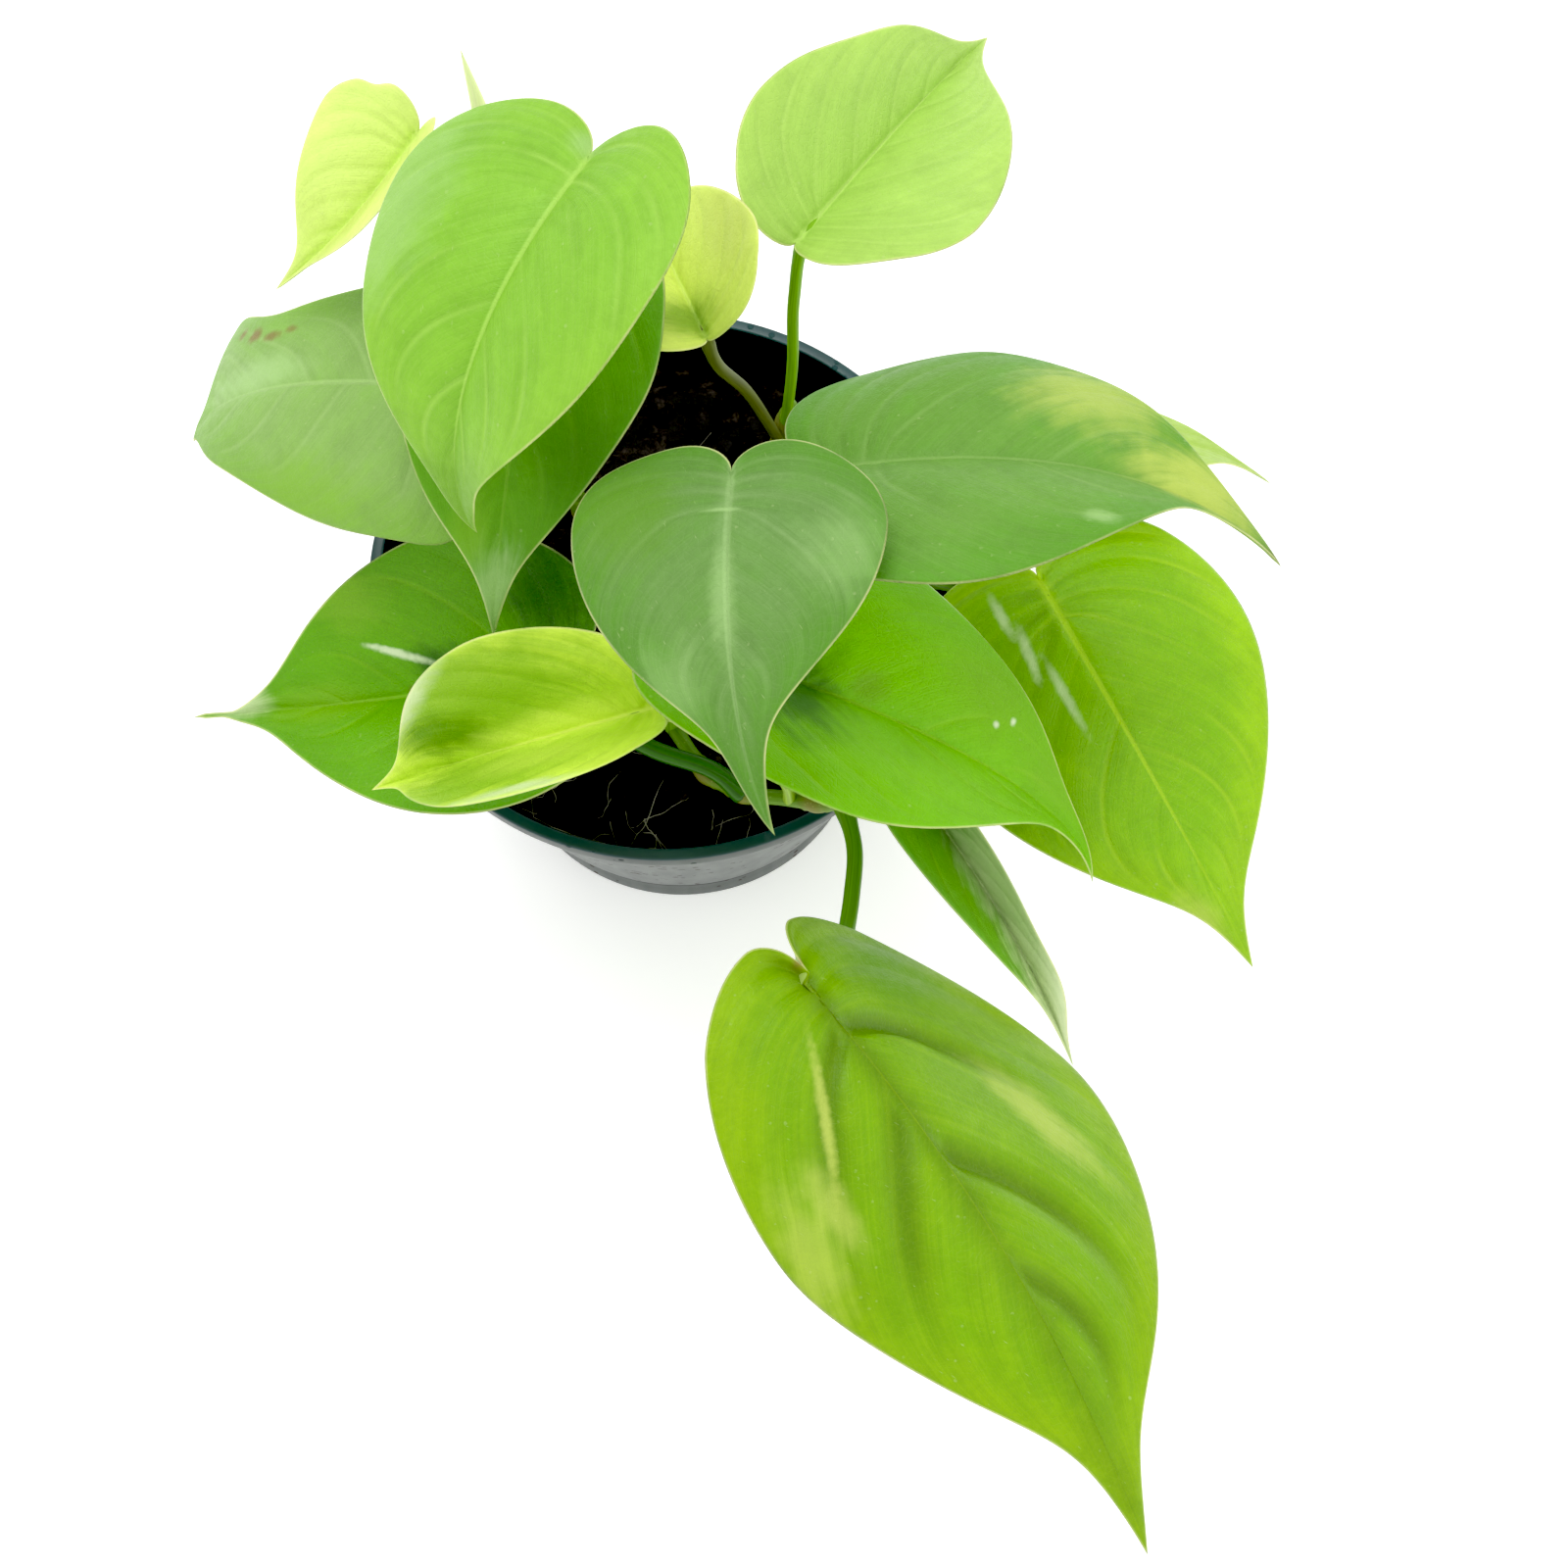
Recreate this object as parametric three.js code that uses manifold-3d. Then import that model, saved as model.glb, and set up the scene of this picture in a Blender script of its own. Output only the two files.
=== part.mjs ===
// Climbing philodendron in a nursery pot. Millimetres, +Z up. The origin is the centre of the pot's
// underside, and the plant's front faces -Y.
import * as THREE from "three";
import { mergeVertices } from "three/addons/utils/BufferGeometryUtils.js";
import Module from "manifold-3d";

const wasm = await Module();
wasm.setup();

// Pot
const rimRadius = 60;
const rimHeight = 90;
const footRadius = 43;
const footHeight = 12;
const footStep = 1;
const wallThickness = 1.4;
const floorThickness = 2;
const lipWidth = 2.4;
const lipHeight = 4;
const lipRound = 0.6;
const drainRadius = 4;
const drainCircleRadius = 27;
const drainCount = 6;
const potSegments = 44;

// Soil
const soilLevel = 76;
const soilBump = 1.6;
const soilRings = 5;
const soilSegments = 32;

// What lies against a neighbour keeps this gap.
const gap = 0.3;

// Stems and leaf stalks
const vineRadius = 1.5;
const vineSides = 6;
const vineStep = 7;
const knobScale = 1.5;
const stalkSides = 6;
const stalkStep = 8;
const stalkUnderBlade = 1;
const stalkRun = [0.05, 0.16];

// Leaf blades
const bladeThickness = 0.9;
const sinusRows = 2;
const lobeRows = 4;
const bodyRows = 8;
const strips = 3;
const ribTable = 64;
const sinusRib = 0.03;
const lobeRib = 0.12;
const tailBlend = 0.05;
const waveCount = 3;
const hookPower = 8;
const slimmest = 0.02;

const materials = {
  pot: { color: 0x1d3a36, roughness: 0.45, metalness: 0 },
  soil: { color: 0x17120e, roughness: 1, metalness: 0 },
  vine: { color: 0x77803a, roughness: 0.6, metalness: 0 },
  deep: { color: 0x3f7d22, roughness: 0.4, metalness: 0 },
  mid: { color: 0x6aa631, roughness: 0.4, metalness: 0 },
  dusky: { color: 0x6f9a5c, roughness: 0.5, metalness: 0 },
  young: { color: 0xb9cf5e, roughness: 0.5, metalness: 0 },
};

// Each vine is a stem that rises out of the soil; knobs mark where leaf stalks spring from it.
const vines = {
  vine_back_left: {
    path: [[-14, 4, 56], [-16, 8, 90], [-19, 12, 118], [-22, 18, 142]],
    knobs: [[-16.7, 9, 99], [-19, 12, 118], [-20.6, 15, 131]],
  },
  vine_back: {
    path: [[16, 22, 56], [20, 26, 80], [22, 28, 94], [24, 31, 106]],
    knobs: [[22, 28, 94], [23, 29.3, 100]],
  },
  vine_front: {
    path: [
      [-2, -14, 56], [0, -24, 80], [3, -34, 94], [10, -44, 96], [17, -48, 97], [26, -50, 100], [37, -53, 107],
    ],
    knobs: [[0, -24, 80], [10, -44, 96], [17, -48, 97], [31, -51.3, 103]],
  },
  vine_right: {
    path: [[32, 6, 56], [37, 1, 84], [43, -5, 100], [51, -9, 112]],
    knobs: [[37, 1, 84], [43, -5, 100]],
  },
};

// One entry for each leaf. base is where the blade meets its stalk, heading, pitch and roll turn the blade
// there, droop and sway bend the midrib, twist turns the blade along it, fold and arch shape each half across
// (left, right), lobe to bias shape the heart outline, wave lifts the margin, and stalk is the stalk's path
// from the vine to just short of the blade. Each swell moves the margin of one side (-1 left, 1 right) about
// a row, over a spread of rows, by so much outward and forward. hook turns the end of the tip aside and down.
const leaves = {
  leaf_top_left: {
    base: [-6, 12, 210], length: 68, halfWidth: 28, heading: -123, pitch: -5, roll: -15, droop: 89, sway: 10,
    twist: 16, fold: [30, 12], arch: [39, 33], lobe: 0.08, lobeGap: 0.37, widest: 0.2, taper: 0.79,
    tail: 0.42, bias: -0.04, wave: 0.5, material: "mid", stalkRadius: 1.3,
    stalk: [[-20.6, 15, 131], [-16, 27, 160], [-14, 27, 180], [-11, 19, 198]],
    hook: [-16, 0],
    swells: [[-1, 12.6, 0.9, 1.5, 0], [1, 8.5, 1.2, -0.6, 0]],
  },
  leaf_under_left: {
    base: [-15, 17, 184], length: 68, halfWidth: 22, heading: -100, pitch: -17, roll: 0, droop: 36, sway: -1,
    twist: 1, fold: [10, 12], arch: [19, 20], lobe: 0.09, lobeGap: 0.42, widest: 0.18, taper: 0.79,
    tail: 0.41, bias: -0.06, wave: 0.6, material: "deep", stalkRadius: 1.2,
    stalk: [[-19, 12, 118], [-16, 12, 140], [-15, 14, 166]],
    swells: [[1, 11, 1.5, 1.6, 0], [-1, 7.2, 1.3, 1.2, 0]],
  },
  leaf_left: {
    base: [-32, -2, 166], length: 75, halfWidth: 25.4, heading: 168, pitch: -14, roll: 2, droop: 57, sway: -3,
    twist: 1, fold: [2, 6], arch: [52, 24], lobe: 0.14, lobeGap: 0.43, widest: 0.06, taper: 0.85,
    tail: 0.4, bias: 0.08, wave: 1, material: "dusky", stalkRadius: 1.2,
    stalk: [[-16.7, 9, 99], [-24, 5, 125], [-31, 0, 154]],
    swells: [[1, 11.4, 0.85, 12.5, 12], [1, 12.6, 0.5, -1.2, 0], [1, 9, 1.5, -2, 0], [-1, 12, 1, 1.2, 0]],
  },
  leaf_young_left: {
    base: [-38, 36, 181], length: 38, halfWidth: 15, heading: -134, pitch: -30, roll: 11, droop: 15, sway: 22,
    twist: 0, fold: [64, 33], arch: [10, 21], lobe: 0.1, lobeGap: 0.44, widest: 0.14, taper: 0.77,
    tail: 0.4, bias: 0.01, wave: 0.4, material: "young", stalkRadius: 1,
    stalk: [[-21.4, 16.7, 136], [-30, 26, 152], [-36, 35, 172]],
    swells: [[1, 3.2, 0.6, -0.4, 0.9]],
  },
  leaf_young_back: {
    base: [10, 6, 170], length: 49, halfWidth: 20, heading: 111, pitch: -19, roll: 10, droop: 4, sway: 0,
    twist: -1, fold: [37, 43], arch: [6, 3], lobe: 0.07, lobeGap: 0.41, widest: 0.14, taper: 0.73,
    tail: 0.4, bias: 0.01, wave: 0.4, material: "young", stalkRadius: 1.1,
    stalk: [[22, 28, 94], [16, 20, 128], [11, 9, 158]],
  },
  leaf_back: {
    base: [24, 26, 168], length: 75, halfWidth: 25, heading: 60, pitch: -12, roll: -4, droop: 15, sway: 0,
    twist: -11, fold: [41, 38], arch: [8, 21], lobe: 0.06, lobeGap: 0.35, widest: 0.16, taper: 0.82,
    tail: 0.4, bias: -0.13, wave: 0.5, material: "mid", stalkRadius: 1.1,
    stalk: [[23, 29.3, 100], [24, 28, 125], [24, 27, 150]],
    swells: [[-1, 6, 3, 0.7, 0], [-1, 11, 1.6, 1.8, 0], [1, 3.2, 1, 0, 1.3]],
  },
  leaf_right: {
    base: [30, -20, 176], length: 79, halfWidth: 34, heading: 0, pitch: 20, roll: 25, droop: 67, sway: -11,
    twist: -6, fold: [16, 31], arch: [49, 50], lobe: 0.11, lobeGap: 0.39, widest: 0.22, taper: 0.69,
    tail: 0.4, bias: 0.01, wave: 0.6, material: "dusky", stalkRadius: 1.3,
    stalk: [[37, 1, 84], [36, -6, 120], [33, -16, 155]],
    swells: [[-1, 10.4, 1.9, 3.6, 0], [1, 11.2, 1.7, -2.7, 0]],
  },
  leaf_centre: {
    base: [16, -34, 202], length: 55, halfWidth: 24, heading: -93, pitch: 0, roll: -18, droop: 58,
    sway: -8.5, twist: 0, fold: [-7, -2], arch: [30, 6], lobe: 0.1, lobeGap: 0.37, widest: 0.13, taper: 0.66,
    tail: 0.35, bias: -0.04, wave: 0.5, material: "dusky", stalkRadius: 1.2,
    stalk: [[0, -24, 80], [1, -12, 118], [4, -15, 150], [11, -26, 184]],
    hook: [-14, 0],
    swells: [[1, 2.5, 1.5, 0, 0.7]],
  },
  leaf_right_low: {
    base: [14, -42, 151], length: 83, halfWidth: 30, heading: -13, pitch: -12, roll: 16, droop: 37, sway: -1,
    twist: -4, fold: [25, 32], arch: [41, 29], lobe: 0.16, lobeGap: 0.41, widest: 0.19, taper: 0.75,
    tail: 0.4, bias: 0.06, wave: 0.6, material: "deep", stalkRadius: 1.3,
    stalk: [[3, -34, 94], [3, -32, 116], [9, -38, 136]],
    hook: [45, 10],
    swells: [[-1, 11.5, 1.2, -0.4, 0], [1, 8.2, 2, 1.2, 0]],
  },
  leaf_right_front: {
    base: [70.5, -11, 119], length: 84, halfWidth: 33, heading: -63, pitch: 3, roll: -6, droop: 37, sway: -4.7,
    twist: -1, fold: [-1, -4], arch: [25, 25], lobe: 0.08, lobeGap: 0.4, widest: 0.24, taper: 0.79,
    tail: 0.36, bias: 0.01, wave: 0.5, material: "mid", stalkRadius: 1.3,
    stalk: [[50.5, -8.8, 111.3], [57, -11, 112], [66, -14, 112.5]],
  },
  leaf_folded: {
    base: [48, -48, 106], length: 63, halfWidth: 16.5, heading: -50, pitch: -10, roll: -5, droop: 24, sway: 14,
    twist: 4, fold: [72, 58], arch: [-16, 5], lobe: 0.08, lobeGap: 0.42, widest: 0.13, taper: 0.76,
    tail: 0.41, bias: -0.15, wave: 0.3, material: "deep", stalkRadius: 1,
    stalk: [[31, -51.3, 103], [37, -48, 104], [44, -47, 105]],
    swells: [[-1, 11.5, 1.3, 5, 0]],
  },
  leaf_front: {
    base: [29, -94, 150], length: 103, halfWidth: 40, heading: -48, pitch: -9, roll: 36, droop: 13, sway: 17,
    twist: -39, fold: [-22, -20], arch: [7, 33], lobe: 0.08, lobeGap: 0.2, widest: 0.34, taper: 0.76,
    tail: 0.36, bias: 0.2, wave: 0.8, material: "mid", stalkRadius: 1.5,
    stalk: [[36, -52.7, 106.3], [38, -62, 109], [37.5, -72, 113.5], [36.5, -80, 118], [35.5, -88, 128]],
    swells: [[1, 3, 1.3, -1, 0], [1, 7.8, 2, -1.4, 0], [-1, 7, 4, 0.9, 0]],
  },
  leaf_left_front: {
    base: [-19, -32, 114], length: 73, halfWidth: 29, heading: 187, pitch: -11, roll: 10, droop: 10, sway: 7,
    twist: -1, fold: [31, 35], arch: [14, 10], lobe: 0.15, lobeGap: 0.4, widest: 0.17, taper: 0.73,
    tail: 0.32, bias: -0.04, wave: 0.5, material: "deep", stalkRadius: 1.7,
    stalk: [[17, -48, 97], [11, -45, 101], [0, -42, 103], [-12, -36, 105]],
    swells: [[1, 12.9, 0.8, -1.3, 0], [-1, 13.2, 0.6, -0.8, 0]],
  },
  leaf_cupped: {
    base: [3, -49, 145], length: 57, halfWidth: 25, heading: -169, pitch: -18, roll: 3, droop: 15, sway: 2,
    twist: -2, fold: [52, 60], arch: [-3, -2], lobe: 0.05, lobeGap: 0.38, widest: 0.35, taper: 0.79,
    tail: 0.4, bias: 0.02, wave: 0.4, material: "young", stalkRadius: 1,
    stalk: [[26, -50, 100], [24, -51, 116], [14, -49, 133]],
  },
  leaf_young_right: {
    base: [75, 16, 125], length: 48, halfWidth: 18, heading: 7, pitch: -12, roll: 25, droop: 32, sway: 3,
    twist: 5, fold: [2, 15], arch: [19, 13], lobe: 0.22, lobeGap: 0.42, widest: 0.12, taper: 0.72,
    tail: 0.4, bias: 0.01, wave: 0.4, material: "young", stalkRadius: 1,
    stalk: [[43, -5, 100], [54, 4, 112], [68, 14, 120]],
  },
};

// The rolled new leaf that stands at the tip of the left vine: its path and its radius at each point.
const rolledLeaf = {
  path: [[-22, 18, 142], [-24, 28, 162], [-26, 34, 182], [-28, 36, 202]],
  radius: 1.9,
  tipRadius: 0.4,
};

const vector = ([x, y, z]) => new THREE.Vector3(x, y, z);
const radians = THREE.MathUtils.degToRad;

// Makes a solid of a closed geometry.
function solidOf(geometry) {
  const bare = geometry.clone();
  bare.deleteAttribute("normal");
  bare.deleteAttribute("uv");
  const welded = mergeVertices(bare, 1e-4);
  const mesh = new wasm.Mesh({
    numProp: 3,
    vertProperties: new Float32Array(welded.attributes.position.array),
    triVerts: new Uint32Array(welded.index.array),
  });
  return new wasm.Manifold(mesh);
}

// Turns a solid back into a named mesh.
function meshOf(name, solid, materialName) {
  const { vertProperties, triVerts } = solid.getMesh();
  const geometry = new THREE.BufferGeometry();
  geometry.setAttribute("position", new THREE.BufferAttribute(new Float32Array(vertProperties), 3));
  geometry.setIndex(new THREE.BufferAttribute(new Uint32Array(triVerts), 1));
  geometry.computeVertexNormals();
  const mesh = new THREE.Mesh(geometry, new THREE.MeshStandardMaterial(materials[materialName]));
  mesh.name = name;
  return mesh;
}

// Drops the crumbs that a cut leaves beside the largest body.
function largestBody(solid) {
  return solid.decompose().reduce((best, body) => (body.volume() > best.volume() ? body : best));
}

function circleShape(radius, sides) {
  const points = [];
  for (let i = 0; i < sides; i += 1) {
    const angle = (2 * Math.PI * i) / sides;
    points.push(new THREE.Vector2(radius * Math.cos(angle), radius * Math.sin(angle)));
  }
  return new THREE.Shape(points);
}

function tube(points, radius, sides, stepLength) {
  const curve = new THREE.CatmullRomCurve3(points, false, "centripetal");
  const steps = Math.max(3, Math.round(curve.getLength() / stepLength));
  const options = { steps, bevelEnabled: false, extrudePath: curve };
  return solidOf(new THREE.ExtrudeGeometry(circleShape(radius, sides), options));
}

// Outline of the pot from the centre of its underside, round the lip and back to the centre of its floor.
function potProfile() {
  const wallFoot = footRadius + footStep;
  const wallTop = rimRadius - lipWidth + wallThickness;
  const lipBottom = rimHeight - lipHeight;
  return [
    [0, 0],
    [footRadius, 0],
    [footRadius, footHeight - footStep],
    [wallFoot, footHeight],
    [wallTop, lipBottom],
    [rimRadius, lipBottom],
    [rimRadius, rimHeight - lipRound],
    [rimRadius - lipRound, rimHeight],
    [rimRadius - lipWidth + lipRound, rimHeight],
    [rimRadius - lipWidth, rimHeight - lipRound],
    [wallTop - wallThickness, lipBottom],
    [wallFoot - wallThickness, footHeight],
    [footRadius - wallThickness, footHeight - footStep],
    [footRadius - wallThickness, floorThickness],
    [0, floorThickness],
  ];
}

function lathe(profile, segments) {
  const points = profile.map(([radius, height]) => new THREE.Vector2(radius, height));
  return new THREE.LatheGeometry(points, segments).rotateX(Math.PI / 2);
}

function potSolid() {
  let pot = solidOf(lathe(potProfile(), potSegments));
  for (let i = 0; i < drainCount; i += 1) {
    const angle = (2 * Math.PI * i) / drainCount;
    const hole = new THREE.CylinderGeometry(drainRadius, drainRadius, 3 * floorThickness, 16);
    const x = drainCircleRadius * Math.cos(angle);
    const y = drainCircleRadius * Math.sin(angle);
    hole.rotateX(Math.PI / 2).translate(x, y, floorThickness / 2);
    pot = pot.subtract(solidOf(hole));
  }
  return pot;
}

// Height of the soil's surface over its mean level.
function soilRelief(x, y) {
  const coarse = Math.sin(0.11 * x + 0.7) * Math.cos(0.13 * y - 0.4);
  const fine = Math.sin(0.37 * x - 0.21 * y) * Math.cos(0.29 * x + 0.41 * y + 1.1);
  return soilBump * (0.6 * coarse + 0.4 * fine);
}

// Soil fills the pot from its floor, and its top is uneven. The vines stand in plain holes.
function soilSolid(vineHoles) {
  const wallFoot = footRadius + footStep;
  const wallTop = rimRadius - lipWidth;
  const lipBottom = rimHeight - lipHeight;
  const slope = (wallTop - wallFoot + wallThickness) / (lipBottom - footHeight);
  const radiusAt = (height) => wallFoot - wallThickness + slope * (height - footHeight) - gap;
  const bottomRadius = footRadius - wallThickness - gap;
  const profile = [
    [0, floorThickness + gap],
    [bottomRadius, floorThickness + gap],
    [bottomRadius, footHeight - footStep],
    [radiusAt(footHeight) - gap, footHeight],
  ];
  const topRadius = radiusAt(soilLevel);
  for (let i = soilRings; i >= 0; i -= 1) {
    profile.push([(topRadius * i) / soilRings, soilLevel]);
  }
  const geometry = lathe(profile, soilSegments);
  const position = geometry.attributes.position;
  for (let i = 0; i < position.count; i += 1) {
    const x = position.getX(i);
    const y = position.getY(i);
    const inside = 1 - Math.hypot(x, y) / topRadius;
    if (Math.abs(position.getZ(i) - soilLevel) < 1e-3 && inside > 1e-3) {
      position.setZ(i, soilLevel + soilRelief(x, y));
    }
  }
  return vineHoles.reduce((soil, hole) => soil.subtract(hole), solidOf(geometry));
}

// A vine with its knobs, made larger all round by grow.
function vineSolid({ path, knobs }, grow) {
  const points = path.map(vector);
  const along = points[0].clone().sub(points[1]).normalize();
  points[0].addScaledVector(along, grow);
  let vine = tube(points, vineRadius + grow, vineSides, vineStep);
  for (const knob of knobs) {
    const ball = new THREE.IcosahedronGeometry(vineRadius * knobScale + grow, 0).translate(...knob);
    vine = vine.add(solidOf(ball));
  }
  return vine;
}

// Half width of the blade between its widest place (0) and its tip (1).
function bodyWidth(along, taper, tail) {
  const body = 1 - (along / taper) ** 2;
  const end = tail * (1 - along);
  const blend = (body + end + Math.sqrt((body - end) ** 2 + tailBlend)) / 2;
  const start = (1 + tail + Math.sqrt((1 - tail) ** 2 + tailBlend)) / 2;
  const leftOver = 1 - taper ** -2;
  const atTip = (leftOver + Math.sqrt(leftOver ** 2 + tailBlend)) / 2;
  return (blend - atTip * along ** 3) / start;
}

// Rows of the blade from the notch round the lobe to the tip. Each has the place of its outer end as a share
// of half width and length, and of its inner end on the midrib.
function bladeRows({ lobe, lobeGap, widest, taper, tail }) {
  const rows = [];
  for (let i = 0; i < sinusRows; i += 1) {
    const angle = (Math.PI / 2) * (i / sinusRows);
    const x = lobeGap * (1 - Math.cos(angle)) ** 0.9;
    rows.push({ x, y: -lobe * Math.sin(angle), rib: (sinusRib * i) / sinusRows });
  }
  for (let i = 0; i < lobeRows; i += 1) {
    const angle = (Math.PI / 2) * (i / lobeRows);
    const x = lobeGap + (1 - lobeGap) * Math.sin(angle);
    const y = widest - (widest + lobe) * Math.cos(angle);
    rows.push({ x, y, rib: sinusRib + ((lobeRib - sinusRib) * i) / lobeRows });
  }
  for (let i = 0; i <= bodyRows; i += 1) {
    const along = i / bodyRows;
    const x = bodyWidth(along, taper, tail);
    rows.push({ x, y: widest + (1 - widest) * along, rib: lobeRib + (1 - lobeRib) * along });
  }
  return rows;
}

// Outer end of a row on one side, moved by the leaf's swells.
function outerEnd(leaf, row, place, hand) {
  let { x, y } = row;
  for (const [side, centre, spread, out, forward] of leaf.swells ?? []) {
    const share = side === hand ? Math.exp(-(((place - centre) / spread) ** 2)) : 0;
    x += (out / leaf.halfWidth) * share;
    y += (forward / leaf.length) * share;
  }
  return { x: Math.max(x, Math.min(row.x, slimmest)), y };
}

// The midrib as a table of places and directions, from behind the notch to the tip.
function midrib(leaf) {
  const heading = radians(leaf.heading);
  const pitch = radians(leaf.pitch);
  const roll = radians(leaf.roll);
  const hook = leaf.hook ?? [0, 0];
  const level = Math.cos(pitch);
  const forward = new THREE.Vector3(level * Math.cos(heading), level * Math.sin(heading), Math.sin(pitch));
  const flat = new THREE.Vector3(Math.sin(heading), -Math.cos(heading), 0);
  const up = flat.clone().cross(forward);
  const side = flat.clone().multiplyScalar(Math.cos(roll)).addScaledVector(up, Math.sin(roll));
  const normal = flat.clone().multiplyScalar(-Math.sin(roll)).addScaledVector(up, Math.cos(roll));
  const start = -1.3 * leaf.lobe;
  const rib = { start, step: (1 - start) / (ribTable - 1), places: [], directions: [], normal };
  const place = new THREE.Vector3();
  let previous = null;
  for (let i = 0; i < ribTable; i += 1) {
    const along = start + rib.step * i;
    const end = Math.max(0, along) ** hookPower;
    let bend = along < 0 ? radians(-10) * (along / start) : radians(leaf.droop) * along ** 1.4;
    let sway = radians(leaf.sway) * Math.sign(along) * Math.abs(along) ** 1.2;
    sway += radians(hook[0]) * end;
    bend += radians(hook[1]) * end;
    const direction = forward.clone().multiplyScalar(Math.cos(bend) * Math.cos(sway));
    direction.addScaledVector(side, Math.cos(bend) * Math.sin(sway));
    direction.addScaledVector(normal, -Math.sin(bend));
    if (previous) {
      const half = (rib.step * leaf.length) / 2;
      place.addScaledVector(previous, half).addScaledVector(direction, half);
    }
    rib.places.push(place.clone());
    rib.directions.push(direction);
    previous = direction;
  }
  const atNotch = lookUp(rib, rib.places, 0);
  rib.places.forEach((entry) => entry.sub(atNotch));
  return rib;
}

// Interpolates in one of the midrib's tables.
function lookUp(rib, table, along) {
  const place = THREE.MathUtils.clamp((along - rib.start) / rib.step, 0, ribTable - 1.001);
  const index = Math.floor(place);
  return table[index].clone().lerp(table[index + 1], place - index);
}

// Place and upward normal of the blade's middle surface at a share of half width (signed) and of length.
function bladePoint(leaf, rib, across, along, lift) {
  const direction = lookUp(rib, rib.directions, along).normalize();
  const normal = rib.normal.clone().addScaledVector(direction, -direction.dot(rib.normal)).normalize();
  const side = direction.clone().cross(normal);
  const twist = radians(leaf.twist) * along;
  const right = side.clone().multiplyScalar(Math.cos(twist)).addScaledVector(normal, Math.sin(twist));
  const up = side.clone().multiplyScalar(-Math.sin(twist)).addScaledVector(normal, Math.cos(twist));
  const hand = across < 0 ? -1 : 1;
  const half = hand < 0 ? 0 : 1;
  const width = Math.abs(across) * leaf.halfWidth * (1 - hand * leaf.bias);
  const fold = radians(leaf.fold[half]);
  const curl = radians(leaf.arch[half]) / leaf.halfWidth;
  const slope = fold - curl * width;
  const out = (Math.sin(fold) - Math.sin(slope)) / curl;
  const rise = (Math.cos(slope) - Math.cos(fold)) / curl + lift;
  const place = vector(leaf.base).add(lookUp(rib, rib.places, along));
  place.addScaledVector(right, hand * out).addScaledVector(up, rise);
  const tilt = across === 0 ? 0 : slope;
  const facing = up.clone().multiplyScalar(Math.cos(tilt)).addScaledVector(right, -hand * Math.sin(tilt));
  return { place, facing };
}

// The blade as a thin closed body, with the same triangles on its two faces.
function bladeSolid(leaf, rib) {
  const rows = bladeRows(leaf);
  const last = rows.length - 1;
  const places = [];
  const facings = [];
  const numbers = new Map();
  const number = (hand, i, j) => {
    const key = i === 0 || i === last || j === 0 ? `${i},rib` : `${hand},${i},${j}`;
    if (!numbers.has(key)) {
      const row = rows[i];
      const share = i === 0 || i === last ? 0 : j / strips;
      const { x, y } = outerEnd(leaf, row, i, hand);
      const along = row.rib + (y - row.rib) * share;
      const ripple = Math.sin((2 * Math.PI * waveCount * i) / last + hand);
      const lift = leaf.wave * share ** 3 * ripple;
      const { place, facing } = bladePoint(leaf, rib, hand * x * share, along, lift);
      numbers.set(key, places.length);
      places.push(place);
      facings.push(facing);
    }
    return numbers.get(key);
  };
  const faces = [];
  const addFace = (a, b, c) => {
    if (a !== b && b !== c && a !== c) faces.push([a, b, c]);
  };
  for (const hand of [1, -1]) {
    for (let i = 0; i < last; i += 1) {
      for (let j = 0; j < strips; j += 1) {
        const near = number(hand, i, j);
        const far = number(hand, i + 1, j);
        const nearOut = number(hand, i, j + 1);
        const farOut = number(hand, i + 1, j + 1);
        if (hand > 0) {
          addFace(near, nearOut, farOut);
          addFace(near, farOut, far);
        } else {
          addFace(near, farOut, nearOut);
          addFace(near, far, farOut);
        }
      }
    }
  }
  const count = places.length;
  const half = bladeThickness / 2;
  const vertices = [];
  for (const sign of [1, -1]) {
    places.forEach((place, i) => vertices.push(...place.clone().addScaledVector(facings[i], sign * half)));
  }
  const index = [];
  for (const [a, b, c] of faces) {
    index.push(a, b, c, a + count, c + count, b + count);
  }
  for (let i = 0; i < last; i += 1) {
    const right = [number(1, i, strips), number(1, i + 1, strips)];
    const left = [number(-1, i + 1, strips), number(-1, i, strips)];
    for (const [a, b] of [right, left]) {
      index.push(a, a + count, b + count, a, b + count, b);
    }
  }
  const geometry = new THREE.BufferGeometry();
  geometry.setAttribute("position", new THREE.BufferAttribute(new Float32Array(vertices), 3));
  geometry.setIndex(index);
  return solidOf(geometry);
}

// A leaf grew as one piece: its blade and its stalk, which runs a little way under the midrib.
function leafSolid(leaf, vineSpace) {
  const rib = midrib(leaf);
  const under = stalkRun.map((along) => {
    const { place, facing } = bladePoint(leaf, rib, 0, along, 0);
    return place.addScaledVector(facing, -stalkUnderBlade * leaf.stalkRadius);
  });
  const path = [...leaf.stalk.map(vector), ...under];
  const stalk = tube(path, leaf.stalkRadius, stalkSides, stalkStep);
  const clear = vineSpace.reduce((body, vine) => body.subtract(vine), stalk);
  return largestBody(bladeSolid(leaf, rib).add(clear));
}

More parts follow.
